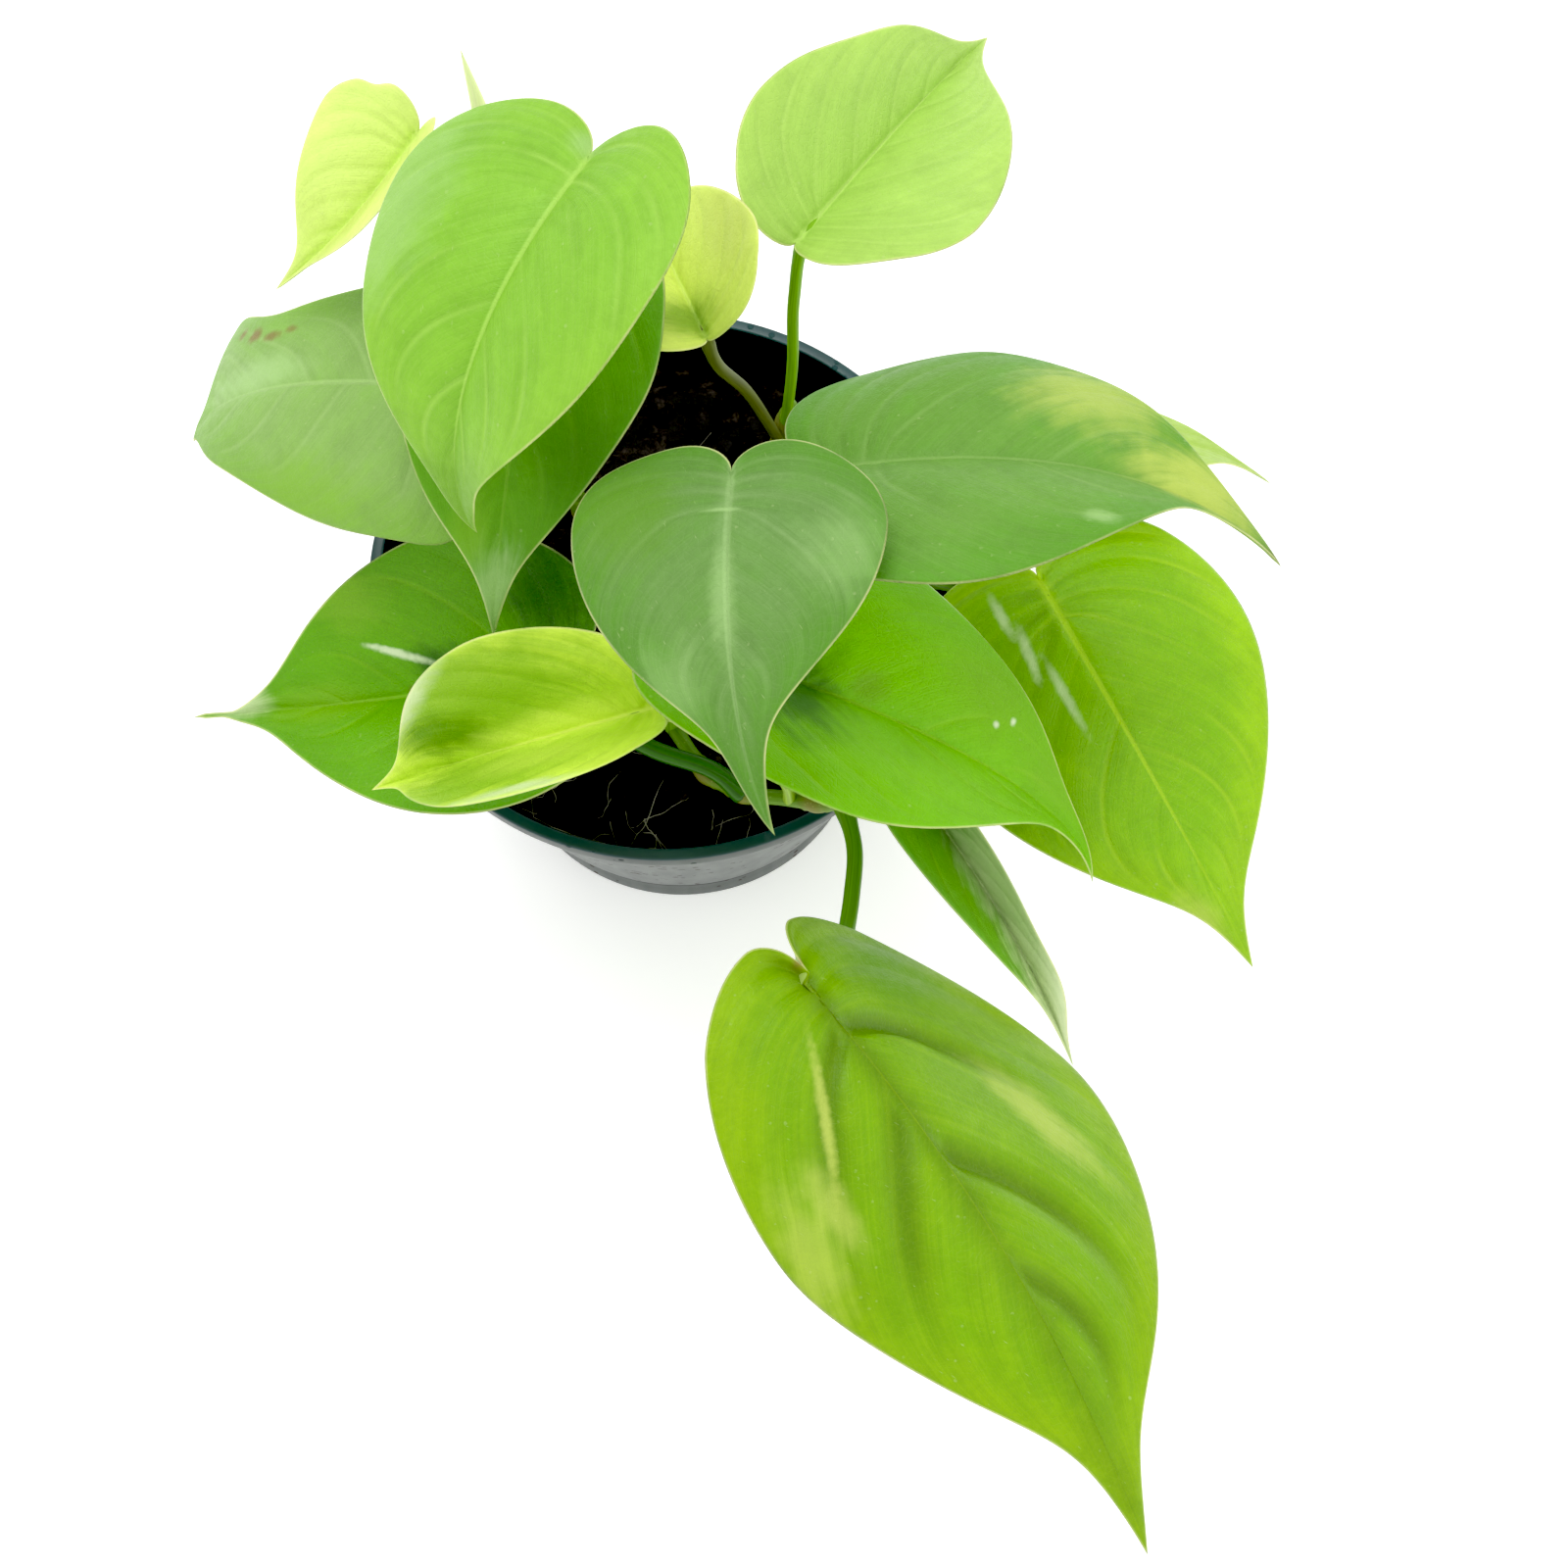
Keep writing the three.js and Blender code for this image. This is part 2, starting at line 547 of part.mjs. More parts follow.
// The rolled leaf as a slim tapering spike.
function rolledLeafSolid({ path, radius, tipRadius }, vineSpace) {
  const curve = new THREE.CatmullRomCurve3(path.map(vector), false, "centripetal");
  const length = curve.getLength();
  const profile = [[0, 0], [radius, 0], [radius, 0.3 * length], [0.85 * radius, 0.75 * length]];
  profile.push([tipRadius, length], [0, length]);
  const geometry = lathe(subdivide(profile, length / 10), 8);
  const position = geometry.attributes.position;
  const frames = curve.computeFrenetFrames(ribTable);
  for (let i = 0; i < position.count; i += 1) {
    const along = THREE.MathUtils.clamp(position.getZ(i) / length, 0, 1);
    const frame = Math.round(along * ribTable);
    const place = curve.getPointAt(along);
    place.addScaledVector(frames.normals[frame], position.getX(i));
    place.addScaledVector(frames.binormals[frame], position.getY(i));
    position.setXYZ(i, place.x, place.y, place.z);
  }
  return largestBody(vineSpace.reduce((body, vine) => body.subtract(vine), solidOf(geometry)));
}

// Adds points to a profile so that no piece of it is longer than the given length.
function subdivide(profile, length) {
  const points = [profile[0]];
  for (let i = 1; i < profile.length; i += 1) {
    const [r0, h0] = profile[i - 1];
    const [r1, h1] = profile[i];
    const parts = Math.max(1, Math.ceil(Math.abs(h1 - h0) / length));
    for (let k = 1; k <= parts; k += 1) {
      points.push([r0 + ((r1 - r0) * k) / parts, h0 + ((h1 - h0) * k) / parts]);
    }
  }
  return points;
}

const plant = new THREE.Group();
const vineSpace = Object.values(vines).map((vine) => vineSolid(vine, gap));
plant.add(meshOf("pot", potSolid(), "pot"));
plant.add(meshOf("soil", soilSolid(vineSpace), "soil"));
for (const [name, vine] of Object.entries(vines)) {
  plant.add(meshOf(name, vineSolid(vine, 0), "vine"));
}
for (const [name, leaf] of Object.entries(leaves)) {
  plant.add(meshOf(name, leafSolid(leaf, vineSpace), leaf.material));
}
plant.add(meshOf("rolled_leaf", rolledLeafSolid(rolledLeaf, vineSpace), "young"));

export default plant;
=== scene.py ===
"""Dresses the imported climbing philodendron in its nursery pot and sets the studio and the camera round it.

The tables below are in millimetres, as in the part's source, and MM turns them into Blender's metres. Every
new piece is a surface worked out with numpy in the row frame, so its object stays at the origin.
"""
import math

import bpy
import numpy as np
from mathutils import Matrix, Vector


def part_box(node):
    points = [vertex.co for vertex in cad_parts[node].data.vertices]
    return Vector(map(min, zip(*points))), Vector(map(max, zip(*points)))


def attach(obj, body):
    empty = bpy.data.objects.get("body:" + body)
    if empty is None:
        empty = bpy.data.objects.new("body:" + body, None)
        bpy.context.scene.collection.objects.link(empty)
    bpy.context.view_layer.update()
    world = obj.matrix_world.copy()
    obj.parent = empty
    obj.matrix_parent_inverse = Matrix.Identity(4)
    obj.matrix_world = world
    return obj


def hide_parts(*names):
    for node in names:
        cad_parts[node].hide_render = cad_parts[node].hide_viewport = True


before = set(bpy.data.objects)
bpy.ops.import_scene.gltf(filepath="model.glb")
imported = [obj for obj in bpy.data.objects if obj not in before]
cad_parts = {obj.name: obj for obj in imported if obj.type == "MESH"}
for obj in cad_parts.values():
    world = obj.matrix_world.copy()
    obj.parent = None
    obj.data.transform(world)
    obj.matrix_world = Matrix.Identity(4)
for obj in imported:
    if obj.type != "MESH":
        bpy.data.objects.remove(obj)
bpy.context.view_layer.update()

bl_info = {
    "name": "Potted Climbing Philodendron",
    "version": (1, 0, 0),
    "blender": (4, 5, 0),
    "location": "View3D > Sidebar > Philodendron",
    "description": "Dresses the packed philodendron with fine leaves, stems, peat and a moulded pot",
    "category": "Add Mesh",
}

MM = 0.001
BODY = "root"


def srgb(red, green, blue):
    """The linear colour of a screen colour given as three numbers from 0 to 255."""
    screen = np.array([red, green, blue]) / 255
    linear = np.where(screen <= 0.04045, screen / 12.92, ((screen + 0.055) / 1.055) ** 2.4)
    return tuple(float(value) for value in linear)


def scaled(colour, share):
    """The colour times a number, or times one number for each of its parts."""
    return tuple(float(value) for value in np.array(colour) * share)


# Leaf blades: row numbers and rib places as in the part's source, with finer rows and strips.
SINUS_END = 2
LOBE_END = 6
LAST_ROW = 14
SINUS_RIB = 0.03
LOBE_RIB = 0.12
TAIL_BLEND = 0.05
WAVE_COUNT = 3
RIB_TABLE = 400
SINUS_STEPS = 12
LOBE_STEPS = 34
BODY_STEPS = 84
STRIPS = 32
STRIP_CROWDING = 0.06
HOOK_POWER = 8
SLIMMEST = 0.02
TINY = 1e-6

# Lateral veins: they leave the midrib every VEIN_PITCH rows and run forward by VEIN_ADVANCE rows to the margin.
# VEIN_OFFSET shifts them along it, by a share of the pitch that is negative on the left.
VEIN_START = 2.2
VEIN_PITCH = 1.6
VEIN_ADVANCE = 3.6
VEIN_LAST = 7
VEIN_OFFSET = 0.18
SPACING_LIMITS = (0.5, 40)

# Relief of the blades in millimetres: widths of the bell curves, how soon the blade gains its thickness from the
# margin inwards, and how high the ridges below are for grooves of 1 above.
VEIN_WIDTH = 0.9
RIB_WIDTH = 1.0
TROUGH_WIDTH = 4.5
TROUGH_SHADE_WIDTH = 3.2
FURROW_REACH = 20
THIN_MARGIN = 0.4
VEIN_RIDGE = 0.7
RIB_RIDGE = 1.3

# Stalks, in millimetres, but STALK_RUN, which is the stretch of the midrib that the stalk runs on under.
STALK_RUN = (0.05, 0.16)
STALK_CLEARANCE = 0.3
STALK_SIDES = 18
STALK_STEP = 0.8
SHEATH, SHEATH_LENGTH = 0.45, 3.5
SWELLING, SWELLING_PLACE, SWELLING_LENGTH = 0.16, 1.5, 2.5
FAR_FROM_MARGIN = 9.0

# Marks: those with a half width over NARROW_MARK have broader teeth, and MARK_JAGGED and MARK_COMBED are how far
# noise and veins break an edge, as a share of the half width.
NARROW_MARK = 2
MARK_JAGGED = 0.35
MARK_COMBED = 0.45

# The screen colours of the kinds of mark: real stains and tones, and shade, sheen and glints painted into the
# colour.
STAINS_AND_PAINTED_LIGHT = dict(
    # Painted shade, where another leaf shadows the blade.
    shade=(30, 85, 5),
    deep=(90, 140, 10),
    fresh=(120, 170, 35),
    yellow=(180, 195, 90),
    bright=(225, 245, 105),
    # A painted sheen of light, but on leaf_right and leaf_centre it also marks a pale scar and a pale midrib.
    sheen=(160, 195, 125),
    # A painted grey sheen on leaf_folded, and real pale parts on other leaves.
    pale=(210, 225, 175),
    # Real drops on leaf_right_low, and painted glints of light on leaf_right_front and leaf_left_front.
    drop=(215, 230, 190),
    brown=(125, 95, 50),
)

# What a leaf has where its entry says nothing.
LEAF_DEFAULTS = dict(hook=(0, 0), swells=(), furrows=(), marks=(), veins=1.0, shine=0.25, stalk_tint=1.0)

# One entry for each leaf, with angles in degrees, as in the part's source. base is where the blade meets its
# stalk, and heading, pitch and roll turn it there. length and half_width are its size. droop and sway bend the
# midrib, twist turns the blade along it, and hook turns the last of the tip, aside and down. fold and arch
# shape each half across (left, right), lobe to bias shape the outline, and wave lifts the margin. Each swell
# moves the margin of one side: (side, row, spread of rows, outward, forward), with side -1 left and 1 right.
# stalk is the stalk's way from its knob to the blade, and stalk_radius its radius. kind chooses the greens.
# youth mixes them towards a young leaf's, tint scales their red, green and blue, and stalk_tint does so for the
# stalk. tint was set so that each leaf comes out as bright as it looks in this light, so it holds painted light
# and shade as well as the leaf's own tone. veins is how clear the veins' lines are, quilt the depth of the
# hollows along them, and trough the depth of the valley along the midrib and how dark the shade painted along it
# is. Each furrow deepens one vein and paints shade at its bottom: (vein number, side, depth, width, share of the
# half that it runs over). gloss is the roughness, shine the specular level, and seed moves the mottling.
# A mark is one patch of colour, one of the leaf's own stains or a patch of painted shade, sheen or glint: (kind
# of mark, right, forward, half width, half length, strength, turn to the right).
LEAVES = {
    "leaf_top_left": dict(
        base=(-6, 12, 210), length=68, half_width=28, heading=-123, pitch=-5, roll=-15, droop=89, sway=10,
        twist=16, fold=(30, 12), arch=(39, 33), lobe=0.08, lobe_gap=0.37, widest=0.2, taper=0.79, tail=0.42,
        bias=-0.04, wave=0.5, kind="mid", stalk_radius=1.3,
        stalk=((-20.6, 15, 131), (-16, 27, 160), (-14, 27, 180), (-11, 19, 198)),
        hook=(-16, 0), swells=((-1, 12.6, 0.9, 1.5, 0), (1, 8.5, 1.2, -0.6, 0)),
        marks=(("deep", -2, 58, 9, 11, 0.4), ("sheen", 25, 20, 10, 20, 0.4), ("sheen", 1, -1, 4, 2, 0.5)),
        veins=1.35, youth=0.3, tint=(0.62, 0.76, 0.58), quilt=0.12, gloss=0.45, seed=1),
    "leaf_under_left": dict(
        base=(-15, 17, 184), length=68, half_width=22, heading=-100, pitch=-17, roll=0, droop=36, sway=-1,
        twist=1, fold=(10, 12), arch=(19, 20), lobe=0.09, lobe_gap=0.42, widest=0.18, taper=0.79, tail=0.41,
        bias=-0.06, wave=0.6, kind="deep", stalk_radius=1.2,
        stalk=((-19, 12, 118), (-16, 12, 140), (-15, 14, 166)),
        swells=((1, 11, 1.5, 1.6, 0), (-1, 7.2, 1.3, 1.2, 0)),
        # Painted light and shade: its tint is darkened for the shadow that leaf_top_left casts on it, the shade
        # mark paints that shadow at its left, and the sheen and fresh marks paint its tip lighter where it comes
        # out into the light.
        marks=(("sheen", 0, 60, 7, 9, 0.7), ("fresh", 5, 50, 4, 7, 0.5), ("shade", -11, 34, 9, 12, 0.35)),
        youth=0.15, tint=(0.66, 0.86, 0.28), quilt=0.1, gloss=0.45, seed=2),
    "leaf_left": dict(
        base=(-32, -2, 166), length=75, half_width=25.4, heading=168, pitch=-14, roll=2, droop=57, sway=-3,
        twist=1, fold=(2, 6), arch=(52, 24), lobe=0.14, lobe_gap=0.43, widest=0.06, taper=0.85, tail=0.4,
        bias=0.08, wave=1, kind="dusky", stalk_radius=1.2,
        stalk=((-16.7, 9, 99), (-24, 5, 125), (-31, 0, 154)),
        swells=((1, 11.4, 0.85, 12.5, 12), (1, 12.6, 0.5, -1.2, 0), (1, 9, 1.5, -2, 0), (-1, 12, 1, 1.2, 0)),
        marks=(("brown", 12, 47, 1.6, 2.4, 0.8), ("brown", 10.5, 41, 1, 3, 0.7), ("brown", 14, 53, 1.4, 1.6, 0.7),
               ("brown", 11, 36, 0.8, 1.6, 0.6), ("sheen", 3, 44, 4, 15, 0.65), ("fresh", -20, 28, 8, 14, 0.5)),
        youth=0.2, tint=(0.8, 0.84, 0.76), quilt=0.12, gloss=0.5, seed=3),
    "leaf_young_left": dict(
        base=(-38, 36, 181), length=38, half_width=15, heading=-134, pitch=-30, roll=11, droop=15, sway=22,
        twist=0, fold=(64, 33), arch=(10, 21), lobe=0.1, lobe_gap=0.44, widest=0.14, taper=0.77, tail=0.4,
        bias=0.01, wave=0.4, kind="young", stalk_radius=1,
        stalk=((-21.4, 16.7, 136), (-30, 26, 152), (-36, 35, 172)),
        swells=((1, 3.2, 0.6, -0.4, 0.9),),
        marks=(("yellow", -5, 18, 4, 18, 0.5),),
        youth=1, tint=(1.1, 1.0, 1.35), quilt=0.06, gloss=0.5, seed=4),
    "leaf_young_back": dict(
        base=(10, 6, 170), length=49, half_width=20, heading=111, pitch=-19, roll=10, droop=4, sway=0,
        twist=-1, fold=(37, 43), arch=(6, 3), lobe=0.07, lobe_gap=0.41, widest=0.14, taper=0.73, tail=0.4,
        bias=0.01, wave=0.4, kind="young", stalk_radius=1.1,
        stalk=((22, 28, 94), (16, 20, 128), (11, 9, 158)),
        marks=(("deep", -2, 5, 7, 6, 0.7), ("yellow", 15, 12, 7, 12, 0.6)),
        # Its stalk_tint darkens the stalk with painted shade.
        stalk_tint=(0.2, 0.2, 0.14), youth=1, tint=(1.05, 0.92, 0.86), quilt=0.1, gloss=0.5, seed=5),
    "leaf_back": dict(
        base=(24, 26, 168), length=75, half_width=25, heading=60, pitch=-12, roll=-4, droop=15, sway=0,
        twist=-11, fold=(41, 38), arch=(8, 21), lobe=0.06, lobe_gap=0.35, widest=0.16, taper=0.82, tail=0.4,
        bias=-0.13, wave=0.5, kind="mid", stalk_radius=1.1,
        stalk=((23, 29.3, 100), (24, 28, 125), (24, 27, 150)),
        swells=((-1, 6, 3, 0.7, 0), (-1, 11, 1.6, 1.8, 0), (1, 3.2, 1, 0, 1.3)),
        stalk_tint=(0.7, 0.95, 0.06), youth=0.5, tint=(0.86, 0.87, 1.15), quilt=0.1, gloss=0.45, seed=6),
    "leaf_right": dict(
        base=(30, -20, 176), length=79, half_width=34, heading=0, pitch=20, roll=25, droop=67, sway=-11,
        twist=-6, fold=(16, 31), arch=(49, 50), lobe=0.11, lobe_gap=0.39, widest=0.22, taper=0.69, tail=0.4,
        bias=0.01, wave=0.6, kind="dusky", stalk_radius=1.3,
        stalk=((37, 1, 84), (36, -6, 120), (33, -16, 155)),
        swells=((-1, 10.4, 1.9, 3.6, 0), (1, 11.2, 1.7, -2.7, 0)),
        # The sheen mark at 18, 41 is a real pale scar.
        marks=(("yellow", -17, 42, 10, 14, 0.6), ("yellow", -3, 60, 7, 14, 0.8), ("brown", 0.2, 77, 2, 3, 0.4),
               ("sheen", 18, 41, 1.8, 2.6, 0.5)),
        youth=0.05, tint=(0.55, 0.7, 0.3), quilt=0.12, gloss=0.5, seed=7),
    "leaf_centre": dict(
        base=(16, -34, 202), length=55, half_width=24, heading=-93, pitch=0, roll=-18, droop=58, sway=-8.5,
        twist=0, fold=(-7, -2), arch=(30, 6), lobe=0.1, lobe_gap=0.37, widest=0.13, taper=0.66, tail=0.35,
        bias=-0.04, wave=0.5, kind="dusky", stalk_radius=1.2,
        stalk=((0, -24, 80), (1, -12, 118), (4, -15, 150), (11, -26, 184)),
        hook=(-14, 0), swells=((1, 2.5, 1.5, 0, 0.7),),
        # The first two sheen marks are painted sheen; the last two are a real pale midrib and a pale scar at the
        # base.
        marks=(("deep", 16, 5, 10, 9, 0.55), ("sheen", -17, 12, 7, 8, 0.3), ("sheen", 9, 32, 5, 9, 0.3),
               ("sheen", 0.5, 19, 2, 9, 0.4), ("sheen", 1.5, 6, 3, 0.4, 0.6)),
        youth=0, tint=(0.6, 0.66, 0.47), quilt=0.08, gloss=0.5, seed=8),
    "leaf_right_low": dict(
        base=(14, -42, 151), length=83, half_width=30, heading=-13, pitch=-12, roll=16, droop=37, sway=-1,
        twist=-4, fold=(25, 32), arch=(41, 29), lobe=0.16, lobe_gap=0.41, widest=0.19, taper=0.75, tail=0.4,
        bias=0.06, wave=0.6, kind="deep", stalk_radius=1.3,
        stalk=((3, -34, 94), (3, -32, 116), (9, -38, 136)),
        swells=((-1, 11.5, 1.2, -0.4, 0), (1, 8.2, 2, 1.2, 0)),
        hook=(45, 10),
        # The shade mark paints the shadow that leaf_centre casts on its base.
        marks=(("shade", 4, 12, 14, 10, 0.8), ("fresh", -4, 25, 4, 3.5, 0.85), ("fresh", -13, 46, 9, 12, 0.5),
               ("fresh", -5, 64, 6, 9, 0.5), ("drop", -7.4, 48.6, 0.7, 0.6, 0.95),
               ("drop", -9.4, 51.5, 0.9, 0.6, 0.95)),
        youth=0.1, tint=(1.3, 1.42, 0.15), quilt=0.12, gloss=0.4, seed=9),
    "leaf_right_front": dict(
        base=(70.5, -11, 119), length=84, half_width=33, heading=-63, pitch=3, roll=-6, droop=37, sway=-4.7,
        twist=-1, fold=(-1, -4), arch=(25, 25), lobe=0.08, lobe_gap=0.4, widest=0.24, taper=0.79, tail=0.36,
        bias=0.01, wave=0.5, kind="mid", stalk_radius=1.3,
        stalk=((50.5, -8.8, 111.3), (57, -11, 112), (66, -14, 112.5)),
        # Its three thin marks beside the midrib paint glints of light.
        marks=(("fresh", 9, 15, 5, 12, 0.5), ("drop", 9.5, 4, 1.1, 5, 0.55), ("drop", 8.6, 13, 1.1, 6, 0.55, 8),
               ("drop", 6.5, 23, 1, 8, 0.5), ("yellow", 5, 72, 4, 8, 0.5)),
        furrows=((1.5, 1, 0.5, 1.2, 0.5), (2.5, 1, 0.5, 1.3, 0.5), (0.5, 1, 0.4, 1.1, 0.4)),
        veins=1.3, shine=0.35, youth=0, tint=(0.96, 0.93, 0.02), quilt=0.25, gloss=0.32, seed=10),
    "leaf_folded": dict(
        base=(48, -48, 106), length=63, half_width=16.5, heading=-50, pitch=-10, roll=-5, droop=24, sway=14,
        twist=4, fold=(72, 58), arch=(-16, 5), lobe=0.08, lobe_gap=0.42, widest=0.13, taper=0.76, tail=0.41,
        bias=-0.15, wave=0.3, kind="deep", stalk_radius=1,
        stalk=((31, -51.3, 103), (37, -48, 104), (44, -47, 105)),
        swells=((-1, 11.5, 1.3, 5, 0),),
        # Its three pale marks paint a grey sheen of light on its folded right half.
        marks=(("pale", -7, 22, 12, 16, 1), ("pale", -5, 40, 12, 18, 1), ("pale", 0, 54, 10, 13, 1)),
        shine=0.6, youth=0, tint=(1.56, 1.33, 0.1), quilt=0.1, gloss=0.45, seed=11),
    "leaf_front": dict(
        base=(29, -94, 150), length=103, half_width=40, heading=-48, pitch=-9, roll=36, droop=13, sway=17,
        twist=-39, fold=(-22, -20), arch=(7, 33), lobe=0.08, lobe_gap=0.2, widest=0.34, taper=0.76, tail=0.36,
        bias=0.2, wave=0.8, kind="mid", stalk_radius=1.5,
        stalk=((36, -52.7, 106.3), (38, -62, 109), (37.5, -72, 113.5), (36.5, -80, 118), (35.5, -88, 128)),
        swells=((1, 3, 1.3, -1, 0), (1, 7.8, 2, -1.4, 0), (-1, 7, 4, 0.9, 0)),
        marks=(("deep", -27, 9, 14, 9, 0.6), ("yellow", -28, 42, 5, 14, 0.6, -15),
               ("yellow", 12, 20, 1.1, 13, 0.75, 26),
               ("yellow", 26, 37, 5, 13, 0.45, 10), ("yellow", 19, 33, 3, 10, 0.5),
               ("brown", 0, -1.5, 1.2, 1.4, 0.8)),
        furrows=((1.6, -1, 2.2, 2.2, 0.8), (3.4, -1, 2.4, 2.6, 0.95), (4.6, -1, 1.2, 2.2, 0.8),
                 (2, 1, 0.9, 2.6, 0.9), (3.2, 1, 0.9, 2.6, 0.9)),
        trough=1.8, stalk_tint=(1.4, 1.55, 0.8), veins=0.4,
        youth=0, tint=(0.79, 0.72, 0.01), quilt=0.25, gloss=0.4, seed=12),
    "leaf_left_front": dict(
        base=(-19, -32, 114), length=73, half_width=29, heading=187, pitch=-11, roll=10, droop=10, sway=7,
        twist=-1, fold=(31, 35), arch=(14, 10), lobe=0.15, lobe_gap=0.4, widest=0.17, taper=0.73, tail=0.32,
        bias=-0.04, wave=0.5, kind="deep", stalk_radius=1.7,
        stalk=((17, -48, 97), (11, -45, 101), (0, -42, 103), (-12, -36, 105)),
        swells=((1, 12.9, 0.8, -1.3, 0), (-1, 13.2, 0.6, -0.8, 0)),
        # The two shade marks paint shadow on it, and the two thin marks at 8.4 and 9.8 to the right paint a
        # streak of highlight.
        marks=(("shade", 17, -3, 14, 10, 0.85), ("shade", 4.5, 18, 5, 8, 0.8, 18), ("fresh", 0, 46, 5, 14, 0.75),
               ("fresh", 20, 34, 7, 8, 0.8), ("drop", 8.4, 26.5, 0.9, 7, 0.95, 23),
               ("drop", 9.8, 29, 0.6, 4, 0.7, 20),
               ("pale", 2, 62, 4, 7, 0.6), ("brown", 1, 25.7, 1.2, 1.6, 0.6)),
        stalk_tint=(0.26, 0.45, 0.2), shine=0.3,
        youth=0.1, tint=(0.8, 0.98, 0.03), quilt=0.15, gloss=0.3, seed=13),
    "leaf_cupped": dict(
        base=(3, -49, 145), length=57, half_width=25, heading=-169, pitch=-18, roll=3, droop=15, sway=2,
        twist=-2, fold=(52, 60), arch=(-3, -2), lobe=0.05, lobe_gap=0.38, widest=0.35, taper=0.79, tail=0.4,
        bias=0.02, wave=0.4, kind="young", stalk_radius=1,
        stalk=((26, -50, 100), (24, -51, 116), (14, -49, 133)),
        marks=(("fresh", 14, 26, 14, 24, 0.8), ("fresh", -13, 30, 13, 22, 0.8), ("deep", 7, 37, 5, 10, 0.8, 10),
               ("bright", 1, 16, 5, 18, 0.95), ("bright", -9, 20, 6, 12, 0.4),
               ("pale", 15.5, 38, 2.4, 12, 0.85, -38),
               ("pale", -23, 19, 2.4, 11, 0.85)),
        veins=0.3, youth=0.4, tint=(0.94, 0.96, 0.42), quilt=0.25, gloss=0.4, seed=14),
    "leaf_young_right": dict(
        base=(75, 16, 125), length=48, half_width=18, heading=7, pitch=-12, roll=25, droop=32, sway=3,
        twist=5, fold=(2, 15), arch=(19, 13), lobe=0.22, lobe_gap=0.42, widest=0.12, taper=0.72, tail=0.4,
        bias=0.01, wave=0.4, kind="young", stalk_radius=1,
        stalk=((43, -5, 100), (54, 4, 112), (68, 14, 120)),
        youth=0.8, tint=(0.54, 0.6, 0.46), quilt=0.06, gloss=0.5, seed=15),
}

# The rolled new leaf at the tip of the left vine.
ROLLED_LEAF = dict(path=((-22, 18, 142), (-24, 28, 162), (-26, 34, 182), (-28, 36, 202)), radius=1.9, tip=0.4)

# Each vine's path and the knobs that leaf stalks spring from, as in the part's source.
VINES = {
    "vine_back_left": dict(
        path=((-14, 4, 56), (-16, 8, 90), (-19, 12, 118), (-22, 18, 142)),
        knobs=((-16.7, 9, 99), (-19, 12, 118), (-20.6, 15, 131))),
    "vine_back": dict(
        path=((16, 22, 56), (20, 26, 80), (22, 28, 94), (24, 31, 106)),
        knobs=((22, 28, 94), (23, 29.3, 100))),
    "vine_front": dict(
        path=((-2, -14, 56), (0, -24, 80), (3, -34, 94), (10, -44, 96), (17, -48, 97), (26, -50, 100),
              (37, -53, 107)),
        knobs=((0, -24, 80), (10, -44, 96), (17, -48, 97), (31, -51.3, 103))),
    "vine_right": dict(
        path=((32, 6, 56), (37, 1, 84), (43, -5, 100), (51, -9, 112)),
        knobs=((37, 1, 84), (43, -5, 100))),
}

# The camera stands in front of the pot and looks down on it.
CAMERA_PLACE = (24.8, -162.4, 452.1)
CAMERA_ELEVATION = 71.87
CAMERA_ROLL = 1.73
CAMERA_LENS = 45
CAMERA_SENSOR = 36


# Meshes

# Places worked out on each span of a curve, and steps that its length is measured in.
CURVE_STEPS = 40
LENGTH_STEPS = 200


class Skin:
    """A closed surface: points in millimetres, faces of four corners, and values at each point by name.

    A face of three corners repeats its last one.
    """

    def __init__(self, points, faces, **values):
        self.points = points
        self.faces = faces
        self.values = values

    def outward(self):
        """Turns the faces over where their signed volume, the sum of a . (b x c) over triangles, is negative."""
        a, b, c, d = (self.points[self.faces[:, k]] for k in range(4))
        volume = np.einsum("ij,ij->i", a, np.cross(b, c)) + np.einsum("ij,ij->i", a, np.cross(c, d))
        if volume.sum() < 0:
            self.faces = self.faces[:, ::-1]
            triangle = self.faces[:, 0] == self.faces[:, 1]
            self.faces[triangle] = np.roll(self.faces[triangle], -1, axis=1)
        return self


def joined(skins):
    """One skin of several, with 0 for a value that one of them lacks."""
    starts = np.cumsum([0] + [len(skin.points) for skin in skins[:-1]])
    names = sorted({name for skin in skins for name in skin.values})
    values = {}
    for name in names:
        width = next(skin.values[name].shape[1:] for skin in skins if name in skin.values)
        blank = [np.zeros((len(skin.points), *width)) for skin in skins]
        values[name] = np.concatenate([skin.values.get(name, none) for skin, none in zip(skins, blank)])
    points = np.concatenate([skin.points for skin in skins])
    faces = np.concatenate([skin.faces + start for skin, start in zip(skins, starts)])
    return Skin(points, faces, **values)


def grid_faces(number, around=False):
    """Faces of a grid of point numbers, each with its corners (i, j), (i, j+1), (i+1, j+1), (i+1, j).

    around joins the last column to the first. A face that a pole makes a triangle repeats its last corner.
    """
    if around:
        number = np.concatenate([number, number[:, :1]], axis=1)
    corners = [number[:-1, :-1], number[:-1, 1:], number[1:, 1:], number[1:, :-1]]
    faces = np.stack(corners, axis=-1).reshape(-1, 4)
    pinched = faces[:, 0] == faces[:, 1]
    faces[pinched] = faces[pinched][:, [1, 2, 3, 3]]
    return faces[faces[:, 0] != faces[:, 2]]


